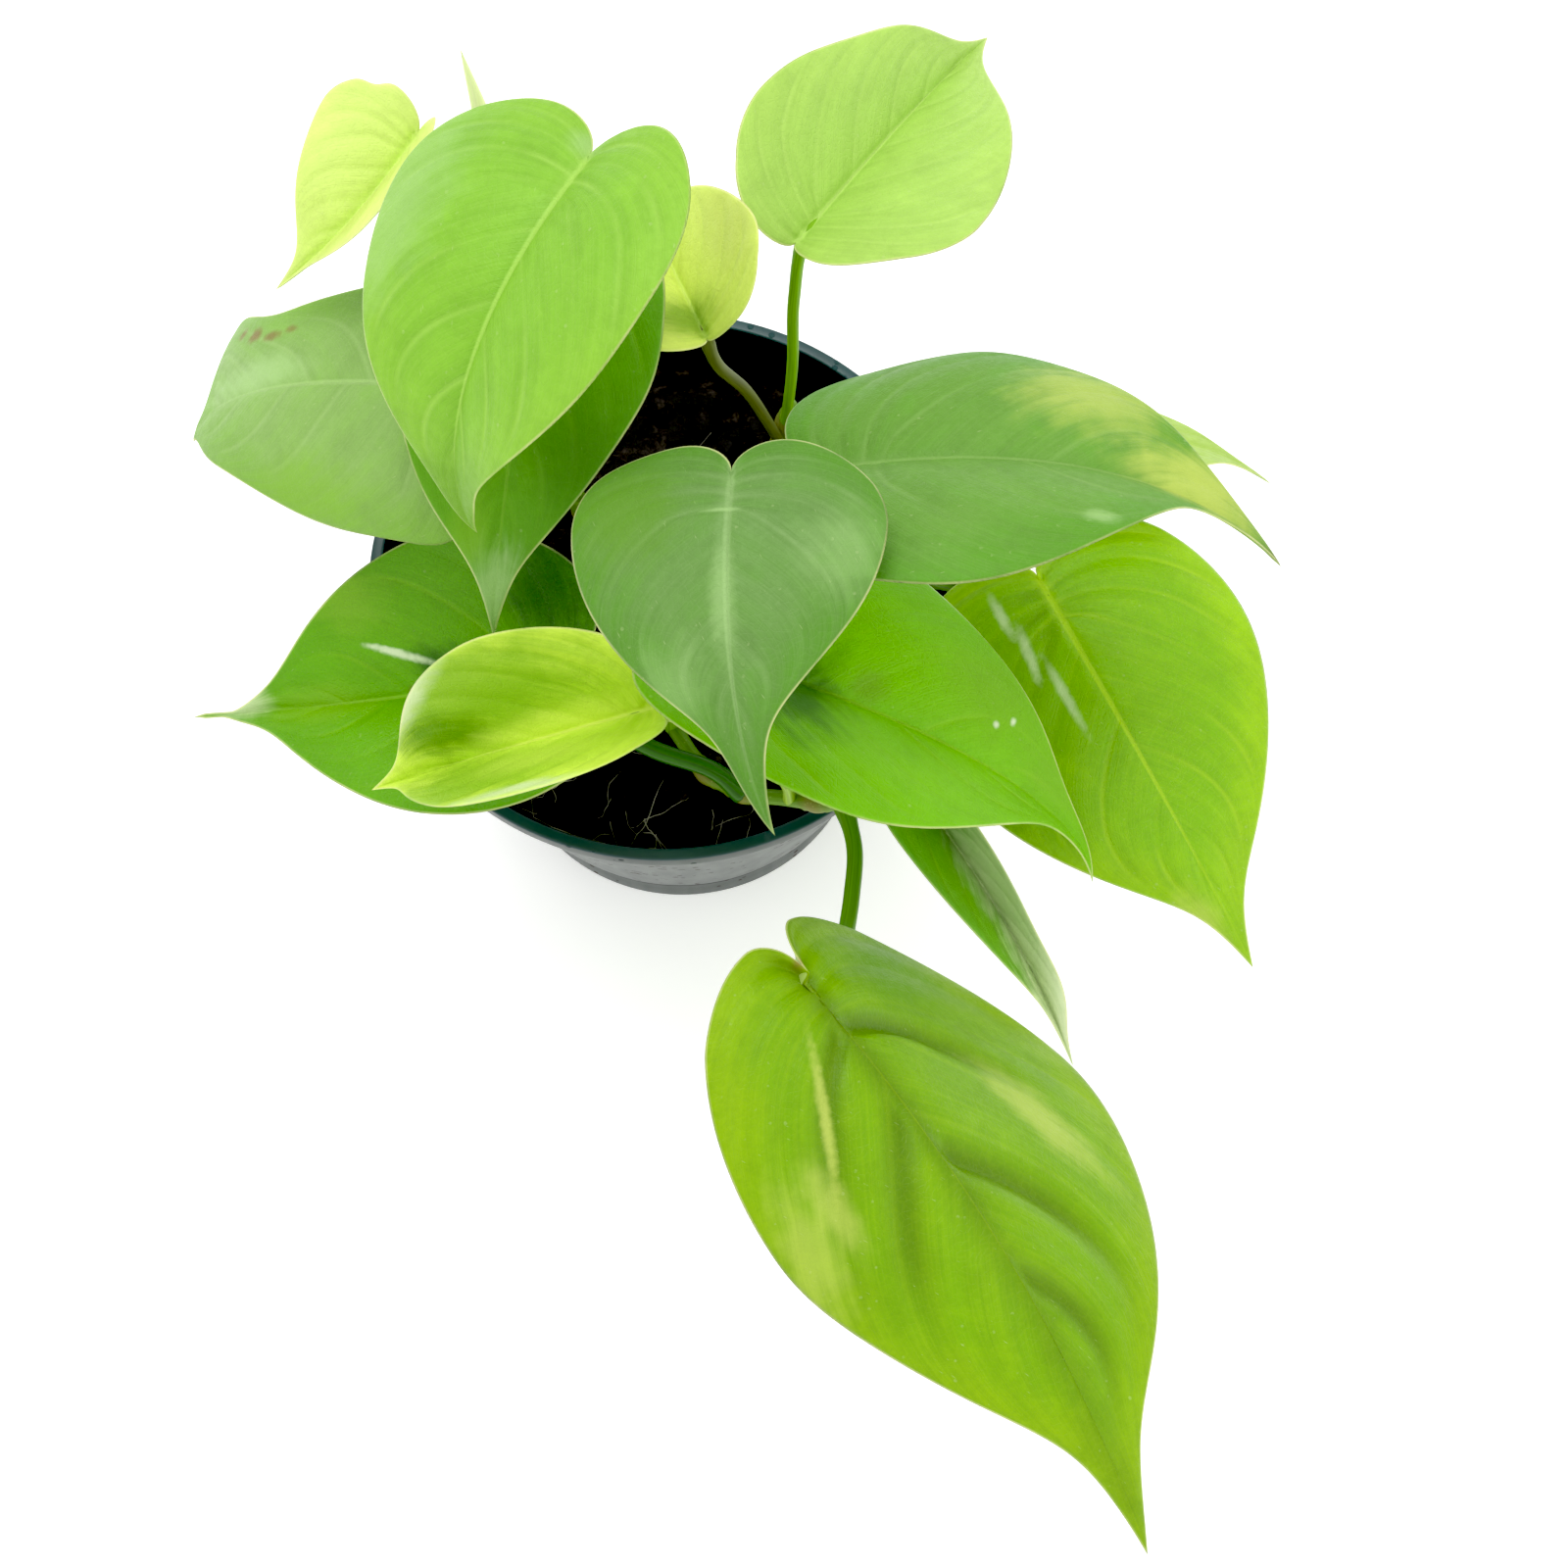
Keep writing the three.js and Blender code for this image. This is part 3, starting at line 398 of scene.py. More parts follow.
def add_piece(name, skin, node, material):
    """Makes the object of a skin, which rides on the body, stands for the node and has the slot's finish."""
    mesh = bpy.data.meshes.new(name)
    faces = skin.faces
    triangle = faces[:, 2] == faces[:, 3]
    sizes = np.where(triangle, 3, 4)
    keep = np.ones(faces.shape, bool)
    keep[triangle, 3] = False
    corners = faces[keep]
    mesh.vertices.add(len(skin.points))
    mesh.vertices.foreach_set("co", (skin.points * MM).astype(np.float32).ravel())
    mesh.loops.add(len(corners))
    mesh.loops.foreach_set("vertex_index", corners.astype(np.int32))
    mesh.polygons.add(len(faces))
    mesh.polygons.foreach_set("loop_start", np.concatenate([[0], np.cumsum(sizes)[:-1]]).astype(np.int32))
    mesh.polygons.foreach_set("loop_total", sizes.astype(np.int32))
    mesh.update(calc_edges=True)
    mesh.validate()
    mesh.shade_smooth()
    for key, value in skin.values.items():
        kind = "FLOAT" if value.ndim == 1 else "FLOAT_VECTOR"
        attribute = mesh.attributes.new(key, kind, "POINT")
        attribute.data.foreach_set("value" if value.ndim == 1 else "vector", value.astype(np.float32).ravel())
    mesh.materials.append(material)
    piece = bpy.data.objects.new(name, mesh)
    bpy.context.scene.collection.objects.link(piece)
    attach(piece, BODY)
    if node:
        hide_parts(node)
    return piece


def smooth_step(value, low, high):
    """0 below low, 1 above high, and 3t^2 - 2t^3 between them."""
    t = np.clip((value - low) / (high - low), 0, 1)
    return t * t * (3 - 2 * t)


def bell(value, width):
    """1 at 0, and falling away on both sides as exp(-(value / width)^2)."""
    return np.exp(-((value / width) ** 2))


def curve_through(points, steps):
    """Places at even steps along the centripetal Catmull-Rom curve through the points."""
    points = np.array(points, float)
    ends = np.vstack([2 * points[0] - points[1], points, 2 * points[-1] - points[-2]])
    spans = np.sqrt(np.linalg.norm(np.diff(ends, axis=0), axis=1))
    t = np.linspace(0, 1, CURVE_STEPS)[:, None]
    pieces = []
    for i in range(len(points) - 1):
        p0, p1, p2, p3 = ends[i:i + 4]
        before, here, after = spans[i:i + 3]
        start = ((p1 - p0) / before - (p2 - p0) / (before + here) + (p2 - p1) / here) * here
        end = ((p2 - p1) / here - (p3 - p1) / (here + after) + (p3 - p2) / after) * here
        cubic = 2 * p1 - 2 * p2 + start + end
        square = -3 * p1 + 3 * p2 - 2 * start - end
        pieces.append(p1 + start * t + square * t**2 + cubic * t**3)
    places = np.vstack([pieces[0]] + [piece[1:] for piece in pieces[1:]])
    run = np.concatenate([[0], np.cumsum(np.linalg.norm(np.diff(places, axis=0), axis=1))])
    even = np.linspace(0, run[-1], steps + 1)
    return np.stack([np.interp(even, run, places[:, k]) for k in range(3)], axis=1)


def evenly(points, step, fewest=1):
    """The curve through the points at even steps of about the length given, and the way run to each place."""
    length = np.linalg.norm(np.diff(curve_through(points, LENGTH_STEPS), axis=0), axis=1).sum()
    path = curve_through(points, max(fewest, round(length / step)))
    return path, np.linspace(0, length, len(path))


def tube(path, radii, sides, twist=0.0):
    """A closed tube: each ring is place + radius (cos a side + sin a across), and both ends close in a point.

    radii holds one radius for each place, or one for each place and side. twist turns the rings, in turns.
    """
    forward = np.gradient(path, axis=0)
    forward /= np.linalg.norm(forward, axis=1, keepdims=True)
    axis = np.eye(3)[np.argmin(np.abs(forward).max(axis=0))]
    side = np.cross(forward, axis)
    side /= np.linalg.norm(side, axis=1, keepdims=True)
    across = np.cross(forward, side)
    radii = np.broadcast_to(radii if np.ndim(radii) == 2 else np.asarray(radii)[:, None], (len(path), sides))
    along = np.linspace(0, 1, len(path))
    angle = 2 * np.pi * (np.arange(sides)[None] / sides + twist * along[:, None])
    ring = np.cos(angle)[..., None] * side[:, None] + np.sin(angle)[..., None] * across[:, None]
    points = path[:, None] + radii[..., None] * ring
    points = np.concatenate([path[:1], points.reshape(-1, 3), path[-1:]])
    number = 1 + np.arange(len(path) * sides).reshape(-1, sides)
    ends = np.full((1, sides), 0), np.full((1, sides), len(points) - 1)
    number = np.concatenate([ends[0], number, ends[1]])
    run = np.concatenate([[0], np.repeat(along, sides), [1]])
    turn = np.concatenate([[0], np.tile(np.arange(sides) / sides, len(path)), [0]])
    return Skin(points, grid_faces(number, around=True), run=run, turn=turn).outward()


def lathe(profile, segments, relief=None):
    """A closed body of revolution: the profile's points (radius, height) run from axis to axis.

    relief gives the change of height at the points (x, y, z) that the turned profile has.
    """
    radius, height = np.array(profile, float).T
    angle = 2 * np.pi * np.arange(segments) / segments
    x = radius[1:-1, None] * np.cos(angle)
    y = radius[1:-1, None] * np.sin(angle)
    z = np.broadcast_to(height[1:-1, None], x.shape)
    rings = np.stack([x, y, z], axis=-1).reshape(-1, 3)
    points = np.concatenate([[[0, 0, height[0]]], rings, [[0, 0, height[-1]]]])
    if relief is not None:
        points[:, 2] += relief(*points.T)
    number = 1 + np.arange(x.size).reshape(x.shape)
    poles = np.full((1, segments), 0), np.full((1, segments), len(points) - 1)
    return Skin(points, grid_faces(np.concatenate([poles[0], number, poles[1]]), around=True)).outward()


# Materials


class Nodes:
    """Short ways to add a material's nodes, each of which gives the new node's output."""

    def __init__(self, name):
        self.material = bpy.data.materials.new(name)
        self.material.use_nodes = True
        self.tree = self.material.node_tree
        self.shader = self.tree.nodes["Principled BSDF"]

    def set(self, socket, value):
        """Links a socket to the input, or sets a number or colour on it. None leaves it as it is."""
        if isinstance(value, bpy.types.NodeSocket):
            self.tree.links.new(value, socket)
        elif value is not None:
            colour = hasattr(socket.default_value, "__len__") and len(socket.default_value) == 4
            socket.default_value = (*value, 1) if colour and len(value) == 3 else value

    def add(self, kind, inputs=(), output=0, **settings):
        """A new node's output, with its inputs set by name or number and its own settings by keyword."""
        node = self.tree.nodes.new("ShaderNode" + kind)
        for key, value in settings.items():
            setattr(node, key, value)
        for key, value in dict(inputs).items():
            self.set(node.inputs[key], value)
        return node.outputs[output]

    def math(self, operation, a, b=None, c=None):
        return self.add("Math", {0: a, 1: b, 2: c}, operation=operation)

    def times(self, a, b):
        return self.math("MULTIPLY", a, b)

    def distance(self, x, y):
        """The square root of x^2 + y^2."""
        return self.math("SQRT", self.math("ADD", self.times(x, x), self.times(y, y)))

    def fade(self, value, low, high, start=0.0, end=1.0):
        """start below low, end above high, and a smooth step between them."""
        places = {"Value": value, "From Min": low, "From Max": high, "To Min": start, "To Max": end}
        return self.add("MapRange", places, interpolation_type="SMOOTHSTEP")

    def mix(self, factor, a, b):
        return self.add("Mix", {0: factor, 6: a, 7: b}, output=2, data_type="RGBA")

    def attribute(self, name, output=2):
        return self.add("Attribute", output=output, attribute_name=name)

    def parts(self, vector):
        return self.add("SeparateXYZ", {0: vector}).node.outputs

    def joined(self, x, y, z):
        return self.add("CombineXYZ", {0: x, 1: y, 2: z})

    def place(self):
        return self.add("TexCoord", output="Object")

    def moved(self, vector, location=(0, 0, 0), scale=(1, 1, 1)):
        return self.add("Mapping", {"Vector": vector, "Location": location, "Scale": scale})

    def noise(self, vector, scale, detail=2.0, rough=0.5):
        inputs = {"Vector": vector, "Scale": scale, "Detail": detail, "Roughness": rough}
        return self.add("TexNoise", inputs)

    def cells(self, vector, scale, feature="F1"):
        return self.add("TexVoronoi", {"Vector": vector, "Scale": scale}, feature=feature)

    def bump(self, height, distance, strength=1.0, normal=None):
        inputs = {"Height": height, "Distance": distance, "Strength": strength, "Normal": normal}
        return self.add("Bump", inputs)

    def finish(self, colour, roughness, normal=None, **constants):
        """The material, with its shader's inputs set. A constant's name has _ where the input's has a space."""
        for key, value in {"Base Color": colour, "Roughness": roughness, "Normal": normal}.items():
            self.set(self.shader.inputs[key], value)
        for key, value in constants.items():
            self.set(self.shader.inputs[key.replace("_", " ")], value)
        return self.material


# Pot

FOOT_STEP = 1
SHOULDER = 1.2
LIP_STEP = 0.3
LIP_UNDERCUT = 0.1
FLOOR = 2
CORNER_RADIUS = 0.5
LONGEST_EDGE = 6
DRAIN_RADIUS = 4
DRAIN_CIRCLE = 27
DRAIN_COUNT = 6
DRAIN_SEGMENTS = 32
POT_SEGMENTS = 168
SHARP_ANGLE = math.radians(50)


def rounded(profile, radius, arc_points=5):
    """The profile with each inner corner replaced by an arc that starts radius away from the corner."""
    profile = np.array(profile, float)
    points = [profile[0]]
    for before, corner, after in zip(profile, profile[1:], profile[2:]):
        room = [np.linalg.norm(end - corner) / 2 for end in (before, after)]
        start, end = (corner + (end - corner) / (2 * half) * min(radius, half)
                      for end, half in zip((before, after), room))
        t = np.linspace(0, 1, arc_points)[:, None]
        points.extend(start * (1 - t) ** 2 + 2 * corner * t * (1 - t) + end * t**2)
    points.append(profile[-1])
    return points


def spread(profile, longest):
    """The profile with points added so that none of its straight pieces is longer than longest."""
    points = [np.array(profile[0], float)]
    for start, end in zip(profile, profile[1:]):
        start, end = np.array(start, float), np.array(end, float)
        parts = max(1, math.ceil(np.linalg.norm(end - start) / longest))
        points.extend(start + (end - start) * k / parts for k in range(1, parts + 1))
    return points


def pot_profile(pot):
    """The part's profile from the centre of the underside, round the lip and back to the centre of the floor."""
    wall_foot = pot.foot_radius + FOOT_STEP
    lip_inside = pot.rim_radius - pot.lip_width
    wall_top = lip_inside + pot.wall
    lip_bottom = pot.rim_height - pot.lip_height
    return [
        (0, 0),
        (pot.foot_radius - pot.wall, 0),
        (pot.foot_radius, 0),
        (pot.foot_radius, pot.foot_height - FOOT_STEP),
        (wall_foot, pot.foot_height),
        (wall_top, lip_bottom - SHOULDER),
        (wall_top + LIP_STEP, lip_bottom - LIP_UNDERCUT),
        (pot.rim_radius, lip_bottom),
        (pot.rim_radius, pot.rim_height),
        (lip_inside, pot.rim_height),
        (wall_top - pot.wall, lip_bottom),
        (wall_foot - pot.wall, pot.foot_height),
        (pot.foot_radius - pot.wall, pot.foot_height - FOOT_STEP),
        (pot.foot_radius - pot.wall, FLOOR),
        (0, FLOOR),
    ]


class Millimetres:
    """The lengths of a settings group, in millimetres."""

    def __init__(self, settings, names):
        for name in names:
            setattr(self, name, getattr(settings, name) / MM)


def drain_cutters():
    """Upright cylinders, one for each drain hole."""
    angles = 2 * np.pi * np.arange(DRAIN_COUNT) / DRAIN_COUNT
    outline = [(0, -FLOOR), (DRAIN_RADIUS, -FLOOR), (DRAIN_RADIUS, 2 * FLOOR), (0, 2 * FLOOR)]
    pin = lathe(outline, DRAIN_SEGMENTS)
    shifts = DRAIN_CIRCLE * np.stack([np.cos(angles), np.sin(angles), np.zeros(DRAIN_COUNT)], axis=1)
    return joined([Skin(pin.points + shift, pin.faces) for shift in shifts])


def cut_away(piece, cutters):
    """Cuts the cutters out of a piece's mesh with an exact Boolean, and applies it."""
    mesh = bpy.data.meshes.new("cutters")
    mesh.from_pydata((cutters.points * MM).tolist(), [], [list(dict.fromkeys(f)) for f in cutters.faces.tolist()])
    tool = bpy.data.objects.new("cutters", mesh)
    bpy.context.scene.collection.objects.link(tool)
    modifier = piece.modifiers.new("cut", "BOOLEAN")
    modifier.operation = "DIFFERENCE"
    modifier.solver = "EXACT"
    modifier.object = tool
    shape = piece.evaluated_get(bpy.context.evaluated_depsgraph_get())
    whole = piece.data
    piece.data = bpy.data.meshes.new_from_object(shape)
    piece.modifiers.clear()
    piece.data.name = whole.name
    bpy.data.meshes.remove(whole)
    bpy.data.objects.remove(tool)
    bpy.data.meshes.remove(mesh)


def peat_specks(n, place, height):
    """Dots of peat on the plastic where a broad noise allows them, and most of them near the foot."""
    allowed = n.fade(n.noise(place, 75, 1), 0.5, 0.56)
    near_foot = n.times(n.fade(n.noise(place, 150, 1), 0.46, 0.52), n.fade(height, 0.012, 0.03, 1, 0))
    speck = n.cells(n.moved(place, location=(0.3, 0.1, 0.2)), 330)
    return n.times(n.fade(speck, 0.16, 0.24, 1, 0), n.math("MAXIMUM", allowed, near_foot))


def inner_wall_shade(n, side, depth, height, settings):
    """A mask of the wall's inner face, which lies nearer the axis than the middle of the slanted wall: where
    shade is painted inside the pot.
    """
    slope = (settings.rim_radius - settings.foot_radius) / (settings.rim_height - settings.foot_height)
    middle = n.math("MULTIPLY_ADD", height, slope, settings.foot_radius - slope * settings.foot_height)
    return n.fade(n.math("SUBTRACT", n.distance(side, depth), middle), -0.0009, -0.0003, 0.85, 0)


def pot_material(settings):
    """Dark green moulded plastic, by coordinates in metres: a film of dust, specks of peat, painted shade in a
    dark band over the foot band and on the inside, and a painted highlight on the lip's top, with flow streaks in
    its roughness.
    """
    n = Nodes("pot_plastic")
    place = n.place()
    side, depth, height = n.parts(place)
    cloud = n.noise(place, 45, 3)
    green = n.mix(n.fade(cloud, 0.3, 0.75), settings.plastic, scaled(settings.plastic, 0.8))
    low = n.fade(height, 0.0, 0.05, 1.0, 0.25)
    film = n.times(n.fade(n.noise(place, 120, 3), 0.3, 0.8, 0.02, 0.08), low)
    colour = n.mix(film, green, settings.dust)
    dots = peat_specks(n, place, height)
    under_lip = n.fade(height, 0.082, 0.084, 1, 0)
    colour = n.mix(n.times(dots, under_lip), colour, settings.peat_speck)
    # Painted shade: a dark band just over the foot band's step, where the step shades the wall.
    off_step = n.math("ABSOLUTE", n.math("SUBTRACT", height, settings.foot_height + 0.0012))
    line = n.fade(off_step, 0.0008, 0.0018, 1, 0)
    colour = n.mix(n.times(line, 0.85), colour, scaled(settings.plastic, 0.15))
    # Painted shade: the wall's inner face is darkened for the shade inside the pot.
    inside = inner_wall_shade(n, side, depth, height, settings)
    colour = n.mix(inside, colour, scaled(settings.plastic, (0.0, 0.3, 0.6)))
    # Painted highlight: the lip's top is lighter, for the light that it catches.
    lip = n.fade(height, settings.rim_height - 0.0006, settings.rim_height - 0.0002)
    colour = n.mix(n.times(lip, n.fade(cloud, 0.2, 0.7, 0.9, 0.5)), colour, settings.lip_highlight)
    streaks = n.noise(n.moved(place, scale=(1, 1, 0.12)), 260, 3)
    rough = n.fade(streaks, 0.3, 0.7, settings.roughness - 0.02, settings.roughness + 0.03)
    rough = n.math("ADD", rough, n.times(n.math("MAXIMUM", dots, line), 0.45))
    grain = n.bump(n.noise(place, 1800, 2), 0.00005, 0.35)
    return n.finish(colour, rough, n.bump(dots, 0.0003, 0.6, grain))


# Soil

SOIL_BUMP = 1.6
SOIL_SEGMENTS = 220
SOIL_RINGS = 84
SOIL_WALL_RINGS = 8
GAP = 0.3

# Crumbs: their sizes and lifts as shares, how flat their domes are, how deep they may sink, and how fast they and
# the relief rise inwards from the wall.
CRUMB_SIZES = (0.35, 1.0)
CRUMB_LIFTS = (-0.6, 0.35)
CRUMB_DOME = 0.75
CRUMB_SINK = 0.3
RELIEF_RISE = 16


def soil_relief(x, y):
    """Height of the peat over its mean level: one coarse and one fine product of sines."""
    coarse = np.sin(0.11 * x + 0.7) * np.cos(0.13 * y - 0.4)
    fine = np.sin(0.37 * x - 0.21 * y) * np.cos(0.29 * x + 0.41 * y + 1.1)
    return SOIL_BUMP * (0.6 * coarse + 0.4 * fine)


class Peat:
    """The peat's bed in the pot, with crumbs placed by a seeded draw."""

    def __init__(self, settings, pot):
        self.level = settings.level / MM
        wall_foot = pot.foot_radius + FOOT_STEP
        lip_bottom = pot.rim_height - pot.lip_height
        slope = (pot.rim_radius - pot.lip_width - wall_foot + pot.wall) / (lip_bottom - pot.foot_height)
        self.radius_at = lambda z: wall_foot - pot.wall + slope * (z - pot.foot_height) - GAP
        self.top_radius = self.radius_at(self.level)
        self.foot_radius = pot.foot_radius - pot.wall - GAP
        self.foot_height = pot.foot_height
        draw = np.random.default_rng(settings.seed)
        count = settings.crumbs
        angle = draw.uniform(0, 2 * np.pi, count)
        reach = self.top_radius * np.sqrt(draw.uniform(0, 1, count))
        self.centres = np.stack([reach * np.cos(angle), reach * np.sin(angle)], axis=1)
        self.sizes = settings.crumb_size / MM * draw.uniform(*CRUMB_SIZES, count) ** 2
        self.lifts = draw.uniform(*CRUMB_LIFTS, count) * self.sizes

    def height(self, x, y):
        """Level plus relief plus the highest of the crumbs' flattened domes, each sqrt(r^2 - d^2)."""
        inside = 1 - np.hypot(x, y) / self.top_radius
        fade = np.clip(inside * RELIEF_RISE, 0, 1)
        away = (x[:, None] - self.centres[:, 0]) ** 2 + (y[:, None] - self.centres[:, 1]) ** 2
        dome = np.sqrt(np.maximum(self.sizes**2 - away, 0)) * CRUMB_DOME + self.lifts
        crumbs = np.where(away < self.sizes**2, dome, 0).max(axis=1)
        return self.level + fade * (soil_relief(x, y) + np.maximum(crumbs, -CRUMB_SINK))

    def skin(self):
        """The bed turned from its underside up the wall and in over the top, with the top raised by height."""
        rings = self.top_radius * np.linspace(1, 0, SOIL_RINGS + 1)
        profile = [
            (0, FLOOR + GAP),
            (self.foot_radius, FLOOR + GAP),
            (self.foot_radius, self.foot_height - FOOT_STEP),
            (self.radius_at(self.foot_height) - GAP, self.foot_height),
        ]
        heights = np.linspace(self.foot_height + 4, self.level - 1, SOIL_WALL_RINGS)
        profile += [(self.radius_at(z), z) for z in heights]
        profile += [(radius, self.level) for radius in rings]

        def relief(x, y, z):
            top = np.abs(z - self.level) < TINY
            change = np.zeros(len(x))
            change[top] = self.height(x[top], y[top]) - self.level
            return change

        return lathe(profile, SOIL_SEGMENTS, relief)


def peat_material(settings):
    """Near-black peat: paler brown patches by noise, crumbs by cells in its bump, paler fibres by stretched
    noise, and a rough grain.
    """
    n = Nodes("peat")
    place = n.place()
    crumb = n.cells(place, 700)
    tone = n.noise(place, 240, 4, 0.7)
    dark = n.mix(n.fade(tone, 0.52, 0.76), settings.peat, settings.peat_light)
    fibre = n.noise(n.moved(place, scale=(1, 4.5, 1)), 420, 3, 0.7)
    colour = n.mix(n.fade(fibre, 0.66, 0.74, 0, 0.5), dark, settings.fibre)
    grain = n.bump(crumb, 0.0006, 0.7)
    fine = n.bump(n.noise(place, 2200, 3, 0.7), 0.0003, 0.6, grain)
    return n.finish(colour, n.fade(tone, 0.3, 0.7, 0.7, 0.95), fine, Specular_IOR_Level=0.2)


# Hair roots lie on the peat, most of them in the front: (centre, spread, share of the roots). Each has a turn of
# its own and wanders at each step, by draws with these spreads in radians.
ROOT_ZONES = (((-30, -43), 9, 0.32), ((-8, -50), 11, 0.38), ((14, -53), 7, 0.24), ((6, 30), 16, 0.06))
ROOT_STEPS = 16
ROOT_SIDES = 6
ROOT_LENGTHS = (4, 17)
ROOT_RADII = (0.06, 0.15)
ROOT_LIFTS = (0.1, 1.2)
ROOT_TURN = 0.16
ROOT_WANDER = 0.24


def root_skins(settings, peat):
    """Thin tubes whose headings wander by a seeded draw, laid on the peat's height."""
    draw = np.random.default_rng(settings.seed + 1)
    centres, spreads, shares = zip(*ROOT_ZONES)
    skins = []
    for zone in draw.choice(len(ROOT_ZONES), settings.roots, p=np.array(shares) / sum(shares)):
        length = draw.uniform(*ROOT_LENGTHS)
        start = np.array(centres[zone]) + draw.normal(0, spreads[zone] / 2, 2)
        turn = draw.normal(0, ROOT_TURN) + draw.normal(0, ROOT_WANDER, ROOT_STEPS + 1)
        heading = draw.uniform(0, 2 * np.pi) + np.cumsum(turn) * 0.5
        ways = np.stack([np.cos(heading), np.sin(heading)], axis=1)
        flat = start + np.cumsum(ways, axis=0) * length / ROOT_STEPS
        flat *= np.minimum(1, (peat.top_radius - 1) / np.hypot(*flat.T))[:, None]
        radius = draw.uniform(*ROOT_RADII)
        lift = radius + draw.uniform(*ROOT_LIFTS) * np.sin(np.linspace(0, np.pi, ROOT_STEPS + 1))
        path = np.column_stack([flat, peat.height(*flat.T) + lift])
        skins.append(tube(path, radius * np.linspace(1, 0.4, ROOT_STEPS + 1), ROOT_SIDES))
    return skins


def root_material(settings):
    """Tan hair roots, darker where they are old."""
    n = Nodes("hair_root")
    tone = n.noise(n.place(), 160, 2)
    colour = n.mix(n.fade(tone, 0.35, 0.65), settings.root_colour, scaled(settings.root_colour, 0.35))
    return n.finish(colour, 0.7, n.bump(n.noise(n.place(), 3000), 0.00005, 0.5), Specular_IOR_Level=0.2)


# Vines

VINE_SIDES = 28
VINE_STEP = 0.5
VINE_RIBS = 5
KNOB_LENGTH = 2.4
KNOB_SHADE_LENGTH = 2.6
RING_HEIGHT, RING_PLACE, RING_LENGTH = 0.12, 2.6, 0.35


def vine_skin(vine, radius, knob_scale):
    """A tube that swells at each knob by a bell curve, with a fine ring beside it, faint ribs and round ends."""
    path, run = evenly(vine["path"], VINE_STEP)
    away = np.linalg.norm(path[:, None] - np.array(vine["knobs"], float), axis=2)
    swell = (knob_scale - 1) * bell(away, KNOB_LENGTH).sum(axis=1)
    ring = RING_HEIGHT * bell(away - RING_PLACE, RING_LENGTH).sum(axis=1)
    radii = radius * (1 + np.clip(swell, 0, knob_scale - 1) + ring + 0.03 * np.sin(run * 0.6))
    from_end = np.minimum(run, run[-1] - run)
    radii *= np.sqrt(1 - np.clip(1 - from_end / radius, 0, 1) ** 2) * 0.98 + 0.02
    angle = 2 * np.pi * np.arange(VINE_SIDES) / VINE_SIDES
    ribs = 1 + 0.025 * np.sin(VINE_RIBS * angle[None] + run[:, None] * 0.05)
    skin = tube(path, radii[:, None] * ribs, VINE_SIDES)
    near = bell(away.min(axis=1), KNOB_SHADE_LENGTH)
    skin.values["knob"] = np.concatenate([[near[0]], np.repeat(near, VINE_SIDES), [near[-1]]])
    return skin


def stem_material(settings):
    """Olive stem: lengthwise streaks, pale lenticels, and browner knobs."""
    n = Nodes("stem_skin")
    run, turn = n.attribute("run"), n.attribute("turn")
    knob = n.attribute("knob")
    streak = n.noise(n.joined(run, n.times(turn, 9.0), 0.0), 5, 3, 0.6)
    green = n.mix(n.fade(streak, 0.3, 0.7), settings.stem, scaled(settings.stem, 0.6))
    colour = n.mix(n.times(knob, 0.7), green, settings.knob)
    dots = n.fade(n.cells(n.place(), 900), 0.12, 0.2, 0.35, 0)
    colour = n.mix(dots, colour, settings.lenticel)
    height = n.bump(streak, 0.0001, 0.4)
    return n.finish(colour, 0.5, height, Specular_IOR_Level=0.35)


# Leaves

ROLLED_STEPS = 90
ROLLED_SIDES = 48
SEAM = 0.94


def body_width(q, taper, tail):
    """Half width from the widest place (0) to the tip (1): a parabola blended into a straight tail."""
    def larger(a, b):
        return (a + b + np.sqrt((a - b) ** 2 + TAIL_BLEND)) / 2

    start = larger(1.0, tail)
    at_tip = larger(1 - taper**-2, 0.0)
    return (larger(1 - (q / taper) ** 2, tail * (1 - q)) - at_tip * q**3) / start


def blade_rows(leaf):
    """Number, outer end (x, y) and place on the midrib of each row, from the notch round the lobe to the tip."""
    lobe, gap, widest = leaf["lobe"], leaf["lobe_gap"], leaf["widest"]
    t = np.arange(SINUS_STEPS) / SINUS_STEPS
    angle = np.pi / 2 * t
    sinus = [SINUS_END * t, gap * (1 - np.cos(angle)) ** 0.9, -lobe * np.sin(angle), SINUS_RIB * t]
    t = np.arange(LOBE_STEPS) / LOBE_STEPS
    angle = np.pi / 2 * t
    round_lobe = [
        SINUS_END + (LOBE_END - SINUS_END) * t,
        gap + (1 - gap) * np.sin(angle),
        widest - (widest + lobe) * np.cos(angle),
        SINUS_RIB + (LOBE_RIB - SINUS_RIB) * t,
    ]
    q = np.linspace(0, 1, BODY_STEPS + 1)
    body = [
        LOBE_END + (LAST_ROW - LOBE_END) * q,
        body_width(q, leaf["taper"], leaf["tail"]),
        widest + (1 - widest) * q,
        LOBE_RIB + (1 - LOBE_RIB) * q,
    ]
    return np.concatenate([sinus, round_lobe, body], axis=1)


def outer_ends(leaf, row, x, y, hand):
    """The rows' outer ends on one side, moved by the leaf's swells: bell curves over the row number."""
    between = (row > 0) & (row < LAST_ROW)
    least = np.minimum(x, SLIMMEST)
    for side, centre, spread, out, forward in leaf["swells"]:
        share = bell(row - centre, spread) * (hand == side) * between
        x = x + out / leaf["half_width"] * share
        y = y + forward / leaf["length"] * share
    return np.maximum(x, least), y + 0 * x


